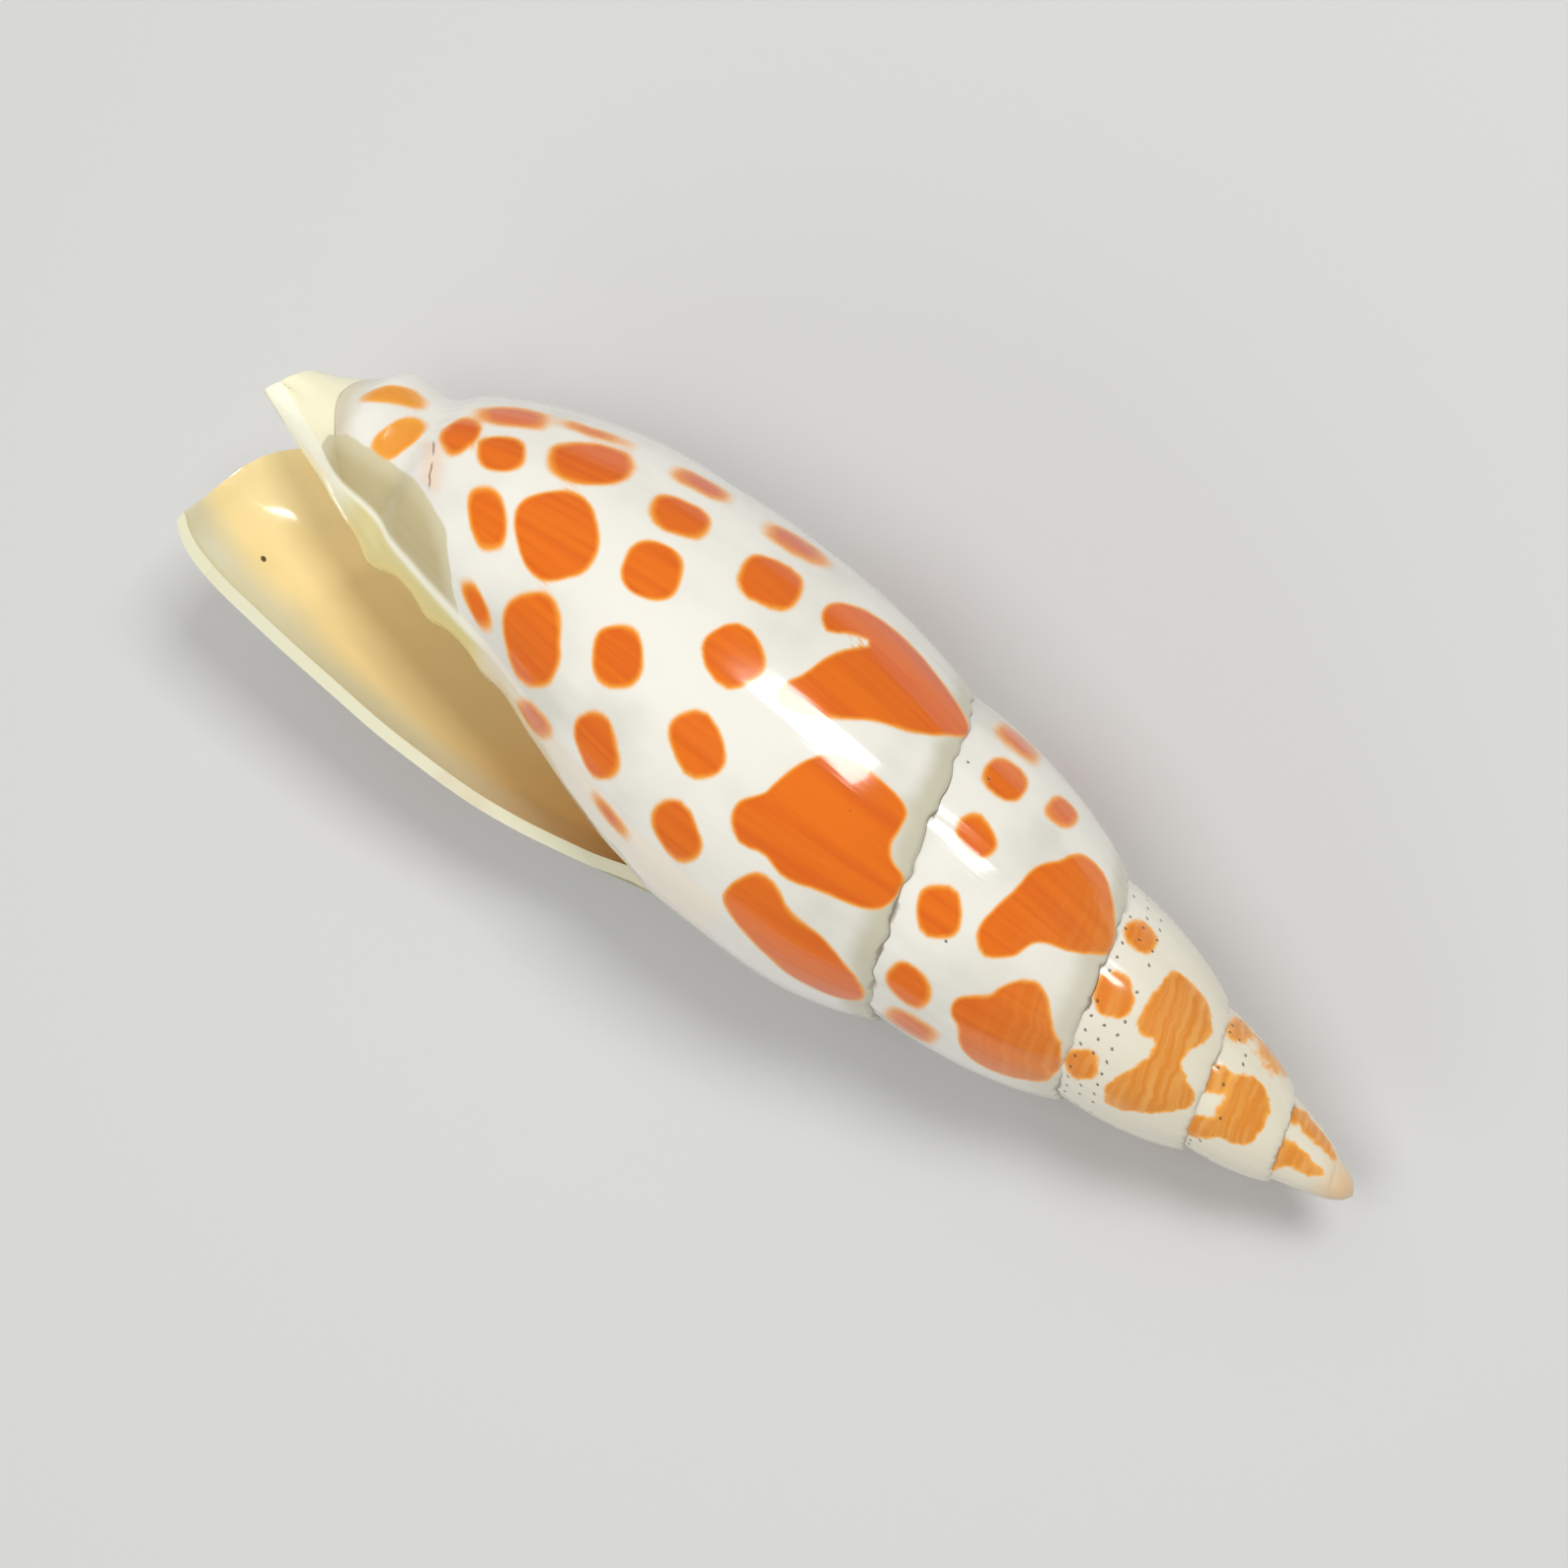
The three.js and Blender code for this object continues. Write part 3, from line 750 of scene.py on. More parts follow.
blotches = {
    "bodyUpper": [
        (832, 625), (836, 610), (850, 604), (880, 608), (905, 620), (930, 640), (955, 665), (975, 690),
        (988, 710), (993, 728), (985, 738), (960, 740), (925, 741), (895, 730), (870, 724), (845, 722),
        (815, 712), (795, 700), (790, 692), (800, 682), (820, 676), (835, 665), (850, 658), (872, 655),
        (885, 650), (870, 643), (845, 641), (835, 636),
    ],
    "bodyMiddle": [
        (742, 815), (755, 808), (775, 803), (785, 793), (800, 780), (815, 770), (835, 764), (860, 768),
        (880, 780), (900, 795), (915, 808), (921, 822), (912, 840), (902, 855), (903, 872), (917, 888),
        (912, 902), (900, 918), (885, 927), (865, 924), (840, 912), (820, 902), (800, 897), (785, 888),
        (778, 872), (765, 862), (750, 858), (740, 848), (737, 832),
    ],
    "bodyLower": [
        (727, 912), (735, 900), (750, 890), (765, 886), (780, 893), (790, 905), (795, 920), (815, 935),
        (835, 952), (850, 975), (868, 1005), (866, 1030), (840, 1034), (800, 1005), (765, 965), (740, 935),
    ],
    "secondUpper": [
        (993, 940), (1000, 925), (1015, 910), (1030, 898), (1045, 880), (1060, 873), (1075, 870),
        (1085, 862), (1100, 858), (1118, 864), (1130, 875), (1135, 890), (1137, 910), (1138, 935),
        (1133, 955), (1122, 966), (1100, 967), (1080, 963), (1065, 957), (1050, 953), (1040, 958),
        (1030, 966), (1010, 965), (998, 960),
    ],
    "secondLower": [
        (961, 1022), (965, 1013), (980, 1009), (1000, 1010), (1010, 1003), (1025, 998), (1045, 998),
        (1057, 1008), (1062, 1025), (1068, 1045), (1075, 1060), (1072, 1080), (1064, 1100), (1040, 1112),
        (1005, 1105), (975, 1085), (966, 1062), (970, 1040), (963, 1032),
    ],
    "third": [
        (1152, 1045), (1150, 1035), (1160, 1020), (1170, 1005), (1180, 990), (1190, 982), (1205, 988),
        (1220, 998), (1232, 1010), (1236, 1030), (1232, 1045), (1220, 1055), (1205, 1062), (1198, 1075),
        (1200, 1090), (1207, 1105), (1206, 1122), (1195, 1132), (1170, 1137), (1140, 1138), (1118, 1132),
        (1112, 1120), (1118, 1105), (1130, 1092), (1145, 1082), (1160, 1075), (1168, 1062), (1172, 1050),
        (1162, 1050),
    ],
    "fourth": [
        (1240, 1095), (1255, 1090), (1270, 1090), (1280, 1095), (1290, 1110), (1285, 1135), (1275, 1150),
        (1265, 1162), (1245, 1163), (1232, 1154), (1215, 1160), (1195, 1158), (1192, 1142), (1205, 1128),
        (1225, 1135), (1234, 1125), (1240, 1110),
    ],
    "fifthUpper": [
        (1300, 1120), (1320, 1122), (1345, 1145), (1358, 1170), (1350, 1178), (1335, 1160), (1315, 1140),
        (1302, 1132),
    ],
    "fifthLower": [
        (1272, 1192), (1282, 1175), (1285, 1160), (1300, 1155), (1320, 1165), (1335, 1180), (1345, 1190),
        (1325, 1190), (1305, 1182), (1290, 1185), (1278, 1197),
    ],
}


def rounded(polygon):
    # the same outline with its corners cut twice
    for _ in range(2):
        following = np.roll(polygon, -1, axis=0)
        near = 0.75 * polygon + 0.25 * following
        far = 0.25 * polygon + 0.75 * following
        polygon = np.stack((near, far), axis=1).reshape(-1, 2)
    return polygon


def insidePolygon(points, polygon):
    # distance of points to the edge of a polygon, above zero inside
    ends = np.roll(polygon, -1, axis=0)
    best = np.full(len(points), np.inf)
    inside = np.zeros(len(points), dtype=bool)
    for start, end in zip(polygon, ends):
        edge = end - start
        away = points - start
        share = np.clip((away @ edge) / (edge @ edge), 0, 1)
        best = np.minimum(best, np.hypot(*(away - share[:, None] * edge).T))
        crosses = (start[1] > points[:, 1]) != (end[1] > points[:, 1])
        level = (points[:, 1] - start[1]) / (edge[1] if edge[1] else 1e-9)
        inside ^= crosses & (points[:, 0] < start[0] + level * edge[0])
    return np.where(inside, best, -best)


def insideSpot(points, halfLength, halfWidth, degrees):
    # the same for a rounded square
    turned = math.radians(degrees)
    along = points[:, 0] * math.cos(turned) + points[:, 1] * math.sin(turned)
    across = -points[:, 0] * math.sin(turned) + points[:, 1] * math.cos(turned)
    roundness = 2.7
    powers = np.abs(along / halfLength) ** roundness + np.abs(across / halfWidth) ** roundness
    return (1 - powers ** (1 / roundness)) * min(halfLength, halfWidth)


patchForm = {
    "limits": (-3, 6),
    "turnReach": 0.3,
    "pixelReach": 40,
    "mergeReach": 0.25,
}


class PatchPainter:
    # gathers how far inside the nearest orange mark each corner lies, in millimetres
    def __init__(self, corners, placer):
        self.turn = corners["turn"]
        self.distance = corners["distance"]
        self.outside = corners["zone"] < 0.5
        self.depth = np.full(len(self.turn), float(patchForm["limits"][0]))
        self.placer = placer
        self.order = np.argsort(self.turn, kind="stable")
        self.sorted = self.turn[self.order]

    def paint(self, place, steps, reach, depthOf):
        turn, distance = place
        turnReach = patchForm["turnReach"]
        low, high = np.searchsorted(self.sorted, [turn - turnReach, turn + turnReach])
        near = self.order[low:high]
        near = near[self.outside[near]]
        offset = np.c_[self.turn[near] - turn, self.distance[near] - distance] @ steps.T
        close = np.hypot(*offset.T) < reach + patchForm["pixelReach"]
        near = near[close]
        depth = depthOf(offset[close]) / (photoView["pixelsPerMetre"] * mm)
        blend = patchForm["mergeReach"]
        both = np.maximum(self.depth[near], depth)
        apart = np.abs(self.depth[near] - depth)
        self.depth[near] = both + blend * np.maximum(0, 1 - apart / blend) ** 2 / 4

    def seenSpot(self, x, y, halfLength, halfWidth, degrees):
        place = self.placer.onPixel(x, y)
        if place is None:
            print("a spot misses the shell", x, y)
            return
        steps = self.placer.pixelSteps(*place)
        shape = (halfLength, halfWidth, degrees)
        self.paint(place, steps, halfLength, lambda offset: insideSpot(offset, *shape))

    def seenBlotch(self, corners):
        outline = np.array(corners, dtype=float)
        middle = outline.mean(axis=0)
        place = self.placer.onPixel(*middle)
        steps = self.placer.pixelSteps(*place)
        around = rounded(outline) - middle
        reach = np.hypot(*around.T).max()
        self.paint(place, steps, reach, lambda offset: insidePolygon(offset, around))

    def hiddenSpot(self, turn, distance, halfLength, halfWidth, degrees):
        # sizes in millimetres, for the side that the photograph does not show
        scale = photoView["pixelsPerMetre"] * mm
        steps = self.placer.surfaceSteps(turn, distance)
        shape = (halfLength * scale, halfWidth * scale, degrees)
        self.paint((turn, distance), steps, shape[0], lambda offset: insideSpot(offset, *shape))


# Marks on the side away from the camera. Pairs are the ends of a span or of a value drawn by chance,
# or the two sides of a spot.
hiddenForm = {
    "seed": 7,
    "whorls": 5,
    "whorlSpan": (0.45, 0.02),
    "bodyHeight": 19 * mm,
    "blotchStart": 0.04,
    "blotchEvery": 0.2,
    "blotchHeight": (0.24, 0.3),
    "blotchWidth": (0.8, 1.15),
    "blotchPlace": (0.34, 0.46),
    "blotchLean": (-25, 25),
    "lobeTurn": 0.035,
    "lobeDrop": 0.5,
    "lobeSize": (0.62, 0.6),
    "lobeLean": (0, 90),
    "spotEvery": 0.125,
    "spotStart": 0.02,
    "spotPlace": 0.82,
    "spotSize": (0.07, 0.1),
    "unevenness": (0.9, 1.1),
    "rowOffsets": (27, 34, 41, 47.5, 54),
    "rowSpan": (-0.43, -0.015),
    "rowShift": 0.06,
    "rowSpread": 0.12,
    "rowSize": (2, 3),
    "rowShrink": 0.06,
    "rowShape": (1.15, 0.85),
    "rowLean": (60, 120),
    "rowUnevenness": (0.9, 1.15),
    "rowEnd": 104 * mm,
}


def sutureAt(turn):
    return float(sutureOf(np.array([turn]))[0])


def paintHiddenBlotches(painter, draw, whorl, first, last):
    # a blotch with a lobe, again and again below the suture
    form = hiddenForm
    turn = first + form["blotchStart"]
    while turn < last:
        top = sutureAt(turn)
        height = sutureAt(min(turn + 1, 0.0)) - top if whorl else form["bodyHeight"]
        tall = height * draw.uniform(*form["blotchHeight"])
        wide = tall * draw.uniform(*form["blotchWidth"])
        middle = top + height * draw.uniform(*form["blotchPlace"])
        painter.hiddenSpot(turn, middle, tall / mm, wide / mm, 90 + draw.uniform(*form["blotchLean"]))
        lobe = [share * side / mm for share, side in zip(form["lobeSize"], (tall, wide))]
        lobeMiddle = middle + form["lobeDrop"] * tall
        painter.hiddenSpot(turn + form["lobeTurn"], lobeMiddle, *lobe, draw.uniform(*form["lobeLean"]))
        turn += form["blotchEvery"] * draw.uniform(*form["unevenness"])


def paintHiddenSpots(painter, draw, first, last):
    # a row of small spots in front of the next suture
    form = hiddenForm
    turn = first + form["spotStart"]
    while turn < last:
        top = sutureAt(turn)
        height = sutureAt(turn + 1) - top
        size = height * draw.uniform(*form["spotSize"])
        painter.hiddenSpot(turn, top + form["spotPlace"] * height, size / mm, size / mm, 0)
        turn += form["spotEvery"] * draw.uniform(*form["unevenness"])


def paintHidden(painter):
    form = hiddenForm
    draw = np.random.default_rng(form["seed"])
    for whorl in range(form["whorls"]):
        first, last = (-whorl - away for away in form["whorlSpan"])
        paintHiddenBlotches(painter, draw, whorl, first, last)
        if whorl:
            paintHiddenSpots(painter, draw, first, last)
    first, last = form["rowSpan"]
    for index, offset in enumerate(form["rowOffsets"]):
        turn = first + (form["rowShift"] if index % 2 else 0)
        while turn < last:
            place = sutureAt(turn) + offset * mm * (1 - form["rowSpread"] * turn)
            size = draw.uniform(*form["rowSize"]) * (1 - form["rowShrink"] * index)
            if place < form["rowEnd"]:
                sides = [size * share for share in form["rowShape"]]
                painter.hiddenSpot(turn, place, *sides, draw.uniform(*form["rowLean"]))
            turn += form["spotEvery"] * draw.uniform(*form["rowUnevenness"])


# Edge of the glazed plate over the pillar: millimetres along the axis, and turns from the lip.
callusEdge = [
    (79.5, -1.02), (80.7, -0.95), (83.6, -0.84), (88.2, -0.745), (90.6, -0.725),
    (93, -0.71), (96.5, -0.71), (100.7, -0.717), (102.5, -0.76),
]
callusLimits = (-5, 5)


def readCallus(corners):
    # how far inside the glazed plate a corner lies, in millimetres
    edgeDistance, edgeTurn = np.array(callusEdge).T
    edgeDistance = edgeDistance * mm
    limitTurn = np.interp(corners["distance"], edgeDistance, edgeTurn)
    around = (limitTurn - corners["turn"]) * 2 * math.pi * corners["radius"]
    ends = np.minimum(corners["distance"] - edgeDistance[0], edgeDistance[-1] - corners["distance"])
    return np.where(corners["turn"] > -1.001, np.minimum(around, ends) / mm, callusLimits[0])


def addCornerValue(mesh, name, values):
    layer = mesh.attributes.new(name, "FLOAT", "CORNER")
    layer.data.foreach_set("value", np.asarray(values, dtype=np.float32))


def addCornerVector(mesh, name, columns):
    layer = mesh.attributes.new(name, "FLOAT_VECTOR", "CORNER")
    layer.data.foreach_set("vector", np.stack(columns, axis=1).astype(np.float32).ravel())


def markShell(mesh, rest, camera):
    corners = cornersOf(mesh, rest)
    painter = PatchPainter(corners, PatchPlacer(mesh, rest, camera))
    for spot in spotsOnBody + spotsOnSpire:
        painter.seenSpot(*spot)
    for outline in blotches.values():
        painter.seenBlotch(outline)
    paintHidden(painter)
    turn = corners["turn"]
    inside = corners["zone"] > 0.5
    turn = np.where(inside & (turn < -0.9), turn + 1, turn)
    below = (corners["distance"] - sutureOf(turn)) / mm
    above = (sutureOf(np.minimum(turn + 1, 0)) - corners["distance"]) / mm
    farAbove, farBelow = 20, 60
    above = np.where(turn < -1, np.clip(above, 0, farAbove), farAbove)
    zones = findZones(mesh, corners, rest)
    turn = np.where(zones[:, 2] > 0.5, 0, turn)
    addCornerVector(mesh, "shellPlace", (turn, corners["distance"] / mm, np.clip(below, 0, farBelow)))
    addCornerValue(mesh, "toSuture", above)
    addCornerValue(mesh, "patch", np.clip(painter.depth, *patchForm["limits"]))
    callus = np.where(inside, callusLimits[0], readCallus(corners))
    addCornerValue(mesh, "callus", np.clip(callus, *callusLimits))
    addCornerVector(mesh, "shellZone", tuple(zones.T))


# The enamel's colours, as they look on a screen.
enamelColours = {
    "white": (236, 233, 222),
    "greyWhite": (214, 211, 199),
    "spireWhite": (229, 222, 200),
    "apexPeach": (226, 190, 146),
    "orange": (231, 112, 2),
    "deepOrange": (212, 88, 0),
    # reddish painted reflection on the marks along the upper edge in view
    "reflectedRedOrange": (206, 78, 22),
    "spireOrange": (222, 138, 44),
    "spireStreak": (240, 184, 104),
    "frontOrange": (238, 164, 62),
    "fringe": (246, 170, 58),
    "sutureBand": (196, 190, 164),
    "sutureLine": (112, 92, 68),
    "puncture": (92, 76, 54),
    "callus": (188, 172, 122),
    "callusPale": (206, 196, 158),
    "pillarRidgeHighlight": (255, 251, 226),
    # painted highlight along the pillar's rounded edge, over cream enamel
    "foldLobe": (232, 218, 152),
    "pillarStripHighlight": (241, 231, 212),
    # cream enamel brightened as a painted highlight along the pillar edge of the mouth
    "collarEnd": (206, 190, 146),
    "collarLine": (164, 142, 96),
    "crack": (92, 62, 36),
    "crackTint": (240, 190, 150),
    "foldShade": (222, 200, 140),
    "frontTip": (250, 243, 208),
    "rim": (224, 221, 190),
    "rimStain": (190, 130, 78),
    "mouthCream": (253, 230, 168),
    "mouthOrange": (255, 190, 104),
    "mouthDeep": (255, 170, 80),
}

# Where each colour lies. A Fade is where it begins and is whole, in turns, in millimetres along the
# axis or away from a line, or in the brightness of a noise. A Grain is a noise's scale and detail.
enamelForm = {
    "spireFade": (36, 16),
    "cloudGrain": (90, 3),
    "cloudFade": (0.42, 0.78),
    "apexFade": (4.5, 0.8),
    "apexShare": 0.9,
    "bandGrain": (260, 2),
    "bandWave": 1.2,
    "bandFade": (3.6, 1.4),
    "bandEndFade": (16, 34),
    "bandShare": 0.85,
    "stripMiddle": 77,
    "stripLean": 0.00105,
    "stripHighlightFade": (-0.832, -0.842),
    "stripEndFade": (52, 54),
    "edgeGrain": (420, 2),
    "edgeWander": 0.32,
    "raggedGrain": (1100, 2),
    "raggedWander": 0.9,
    "streakPlace": (95, 0.05),
    "streakGrain": (1, 3),
    "streakFade": (0.38, 0.72),
    "streakShare": 0.6,
    # where the painted red reflection lies on the marks, in turns
    "reflectionFade": (-0.66, -0.52),
    "reflectionEndFade": (-0.2, -0.4),
    "reflectionShare": 0.4,
    "threadPlace": (5, 1.5),
    "threadGrain": (1, 2),
    "threadFade": (0.36, 0.7),
    "threadShare": 0.55,
    "frontFade": (93.5, 97.5),
    "frontShare": 0.8,
    "fringeGrain": (330, 2),
    "fringeStart": -0.08,
    "fringeWidth": 0.14,
    "fringeWander": 0.5,
    "markFade": (-0.2, 0.14),
    "punctureRowShare": 0.115,
    "puncturesPerTurn": 44,
    "whorlRound": 4.1,
    "punctureJitter": 0.14,
    "punctureFade": (0.17, 0.08),
    "punctureRows": 3,
    "fewest": 0.36,
    "fewerFade": (27, 31),
    "fewerShare": 0.56,
    "tipFewerFade": (20, 16),
    "tipFewerShare": 0.42,
    "punctureBodyFade": (49, 46),
    "punctureTipFade": (7, 10),
    "punctureGap": 0.2,
    "punctureShare": 0.8,
    "fleckScale": 230,
    "fleckKept": 0.55,
    "fleckFade": (0.034, 0.014),
    "fleckShare": 0.6,
    "chipGrain": (700, 3),
    "chipFade": (0.5, 0.72),
    "chipReach": 0.4,
    "lineReach": 0.07,
    "lineCore": 0.02,
    "lineGrain": (150, 2),
    "lineFade": (0.35, 0.6),
    "lineTipFade": (5, 9),
    "lineShare": 0.75,
    "collarFade": (92, 95),
    "collarTurn": -0.5,
    "collarReach": 105.3,
    "collarArc": 58,
    "collarEndFade": (-3.2, -0.4),
    "collarEndShare": 0.6,
    "frontTipFade": (-0.08, 0.08),
    "collarLineFade": (0.2, 0.04),
    "collarLineBreaks": (0.3, 0.6),
    "plateFade": (-0.05, 0.25),
    "plateWander": 2,
    "plateShare": 0.9,
    "plateClouds": 4,
    "platePaleFade": (4.6, 2.2),
    "foldsFade": (79, 83),
    "ridgeClouds": 0.03,
    # where the painted highlight on the pillar's rounded edge lies, in turns
    "ridgeHighlightFade": (-0.806, -0.826),
    "lobeFade": (-0.845, -0.862),
    "lobeEndFade": (100, 96),
    "crackReach": 94.08,
    "crackTurn": 0.6406,
    "crackLean": 32.4,
    "crackGrain": (900, 2),
    "crackWobble": 0.6,
    "crackStartFade": (-0.715, -0.7),
    "crackEndFade": (-0.625, -0.645),
    "tintFade": (1.8, 0.2),
    "tintShare": 0.4,
    "crackBreakGrain": (500, 2),
    "crackBreaks": (0.4, 0.55),
    "crackFade": (0.12, 0.04),
    "crackShare": 0.7,
    "mouthTurns": -0.5,
    "mouthClouds": 0.03,
    "mouthWarmFade": (86, 60),
    "mouthWarmShare": 0.6,
    "foldShadeFade": (-0.4, -0.1),
    "speckTurn": 0.0485,
    "speckRound": 100,
    "speckReach": 103.26,
    "speckFade": (0.32, 0.2),
    "rimRound": -100,
    "rimFade": (1.6, 0.5),
    "stainGrain": (75, 3),
    "stainFade": (0.54, 0.7),
    "stainShare": 0.4,
    "rimShare": 0.9,
    "growthPlace": (220, 0.06),
    "growthGrain": (1, 2),
    "growthRelief": 0.3,
    "reliefDepth": 0.08 * mm,
    "reliefStrength": 0.6,
    "roughness": 0.12,
    "ior": 1.53,
    "coatWeight": 0.6,
    "coatRoughness": 0.03,
    "subsurface": 0.06,
    "subsurfaceRadius": (1, 0.75, 0.5),
    "subsurfaceScale": 1.5 * mm,
}
mouthTones = [
    (0, "rim"), (0.035, "rim"), (0.095, "mouthCream"), (0.26, "mouthCream"),
    (0.5, "mouthOrange"), (1, "mouthDeep"),
]


def plainColour(name):
    # screen colour to the linear colour that a shader takes
    parts = [part / 255 for part in enamelColours[name]]
    linear = [part / 12.92 if part < 0.0405 else ((part + 0.055) / 1.055) ** 2.4 for part in parts]
    return (*linear, 1)


class Paint:
    # short ways to build a material; a colour is a socket or a name, a grain or fade is a name
    def __init__(self, material):
        material.use_nodes = True
        self.tree = material.node_tree
        self.surface = self.tree.nodes["Principled BSDF"]

    def node(self, kind, **settings):
        made = self.tree.nodes.new(kind)
        for name, value in settings.items():
            setattr(made, name, value)
        return made

    def link(self, value, socket):
        if isinstance(value, bpy.types.NodeSocket):
            self.tree.links.new(value, socket)
        else:
            socket.default_value = plainColour(value) if isinstance(value, str) else value

    def attribute(self, name):
        return self.node("ShaderNodeAttribute", attribute_name=name)

    def parts(self, vector):
        split = self.node("ShaderNodeSeparateXYZ")
        self.link(vector, split.inputs[0])
        return split.outputs

    def join(self, x, y, z=0.0):
        made = self.node("ShaderNodeCombineXYZ")
        for value, socket in zip((x, y, z), made.inputs):
            self.link(value, socket)
        return made.outputs[0]

    def sum(self, operation, *values):
        made = self.node("ShaderNodeMath", operation=operation)
        for value, socket in zip(values, made.inputs):
            self.link(value, socket)
        return made.outputs[0]

    def times(self, result, *others):
        for other in others:
            result = self.sum("MULTIPLY", result, other)
        return result

    def plus(self, result, *others):
        for other in others:
            result = self.sum("ADD", result, other)
        return result

    def less(self, a, b):
        return self.sum("SUBTRACT", a, b)

    def rise(self, value, start, end):
        # 0 at start, 1 at end, smooth between; start may be the larger
        made = self.node("ShaderNodeMapRange", interpolation_type="SMOOTHSTEP")
        self.link(value, made.inputs["Value"])
        self.link(start, made.inputs["From Min"])
        self.link(end, made.inputs["From Max"])
        return made.outputs[0]

    def fade(self, value, name):
        return self.rise(value, *enamelForm[name])

    def noise(self, where, grain):
        made = self.node("ShaderNodeTexNoise")
        self.link(where, made.inputs["Vector"])
        made.inputs["Scale"].default_value, made.inputs["Detail"].default_value = enamelForm[grain]
        return made.outputs[0]

    def blend(self, under, over, share):
        made = self.node("ShaderNodeMix", data_type="RGBA")
        for value, socket in ((share, made.inputs[0]), (under, made.inputs[6]), (over, made.inputs[7])):
            self.link(value, socket)
        return made.outputs[2]

    def ramp(self, value, stops):
        made = self.node("ShaderNodeValToRGB")
        self.link(value, made.inputs[0])
        elements = made.color_ramp.elements
        while len(elements) < len(stops):
            elements.new(0.5)
        for element, (place, colour) in zip(elements, stops):
            element.position = place
            element.color = plainColour(colour)
        return made.outputs[0]


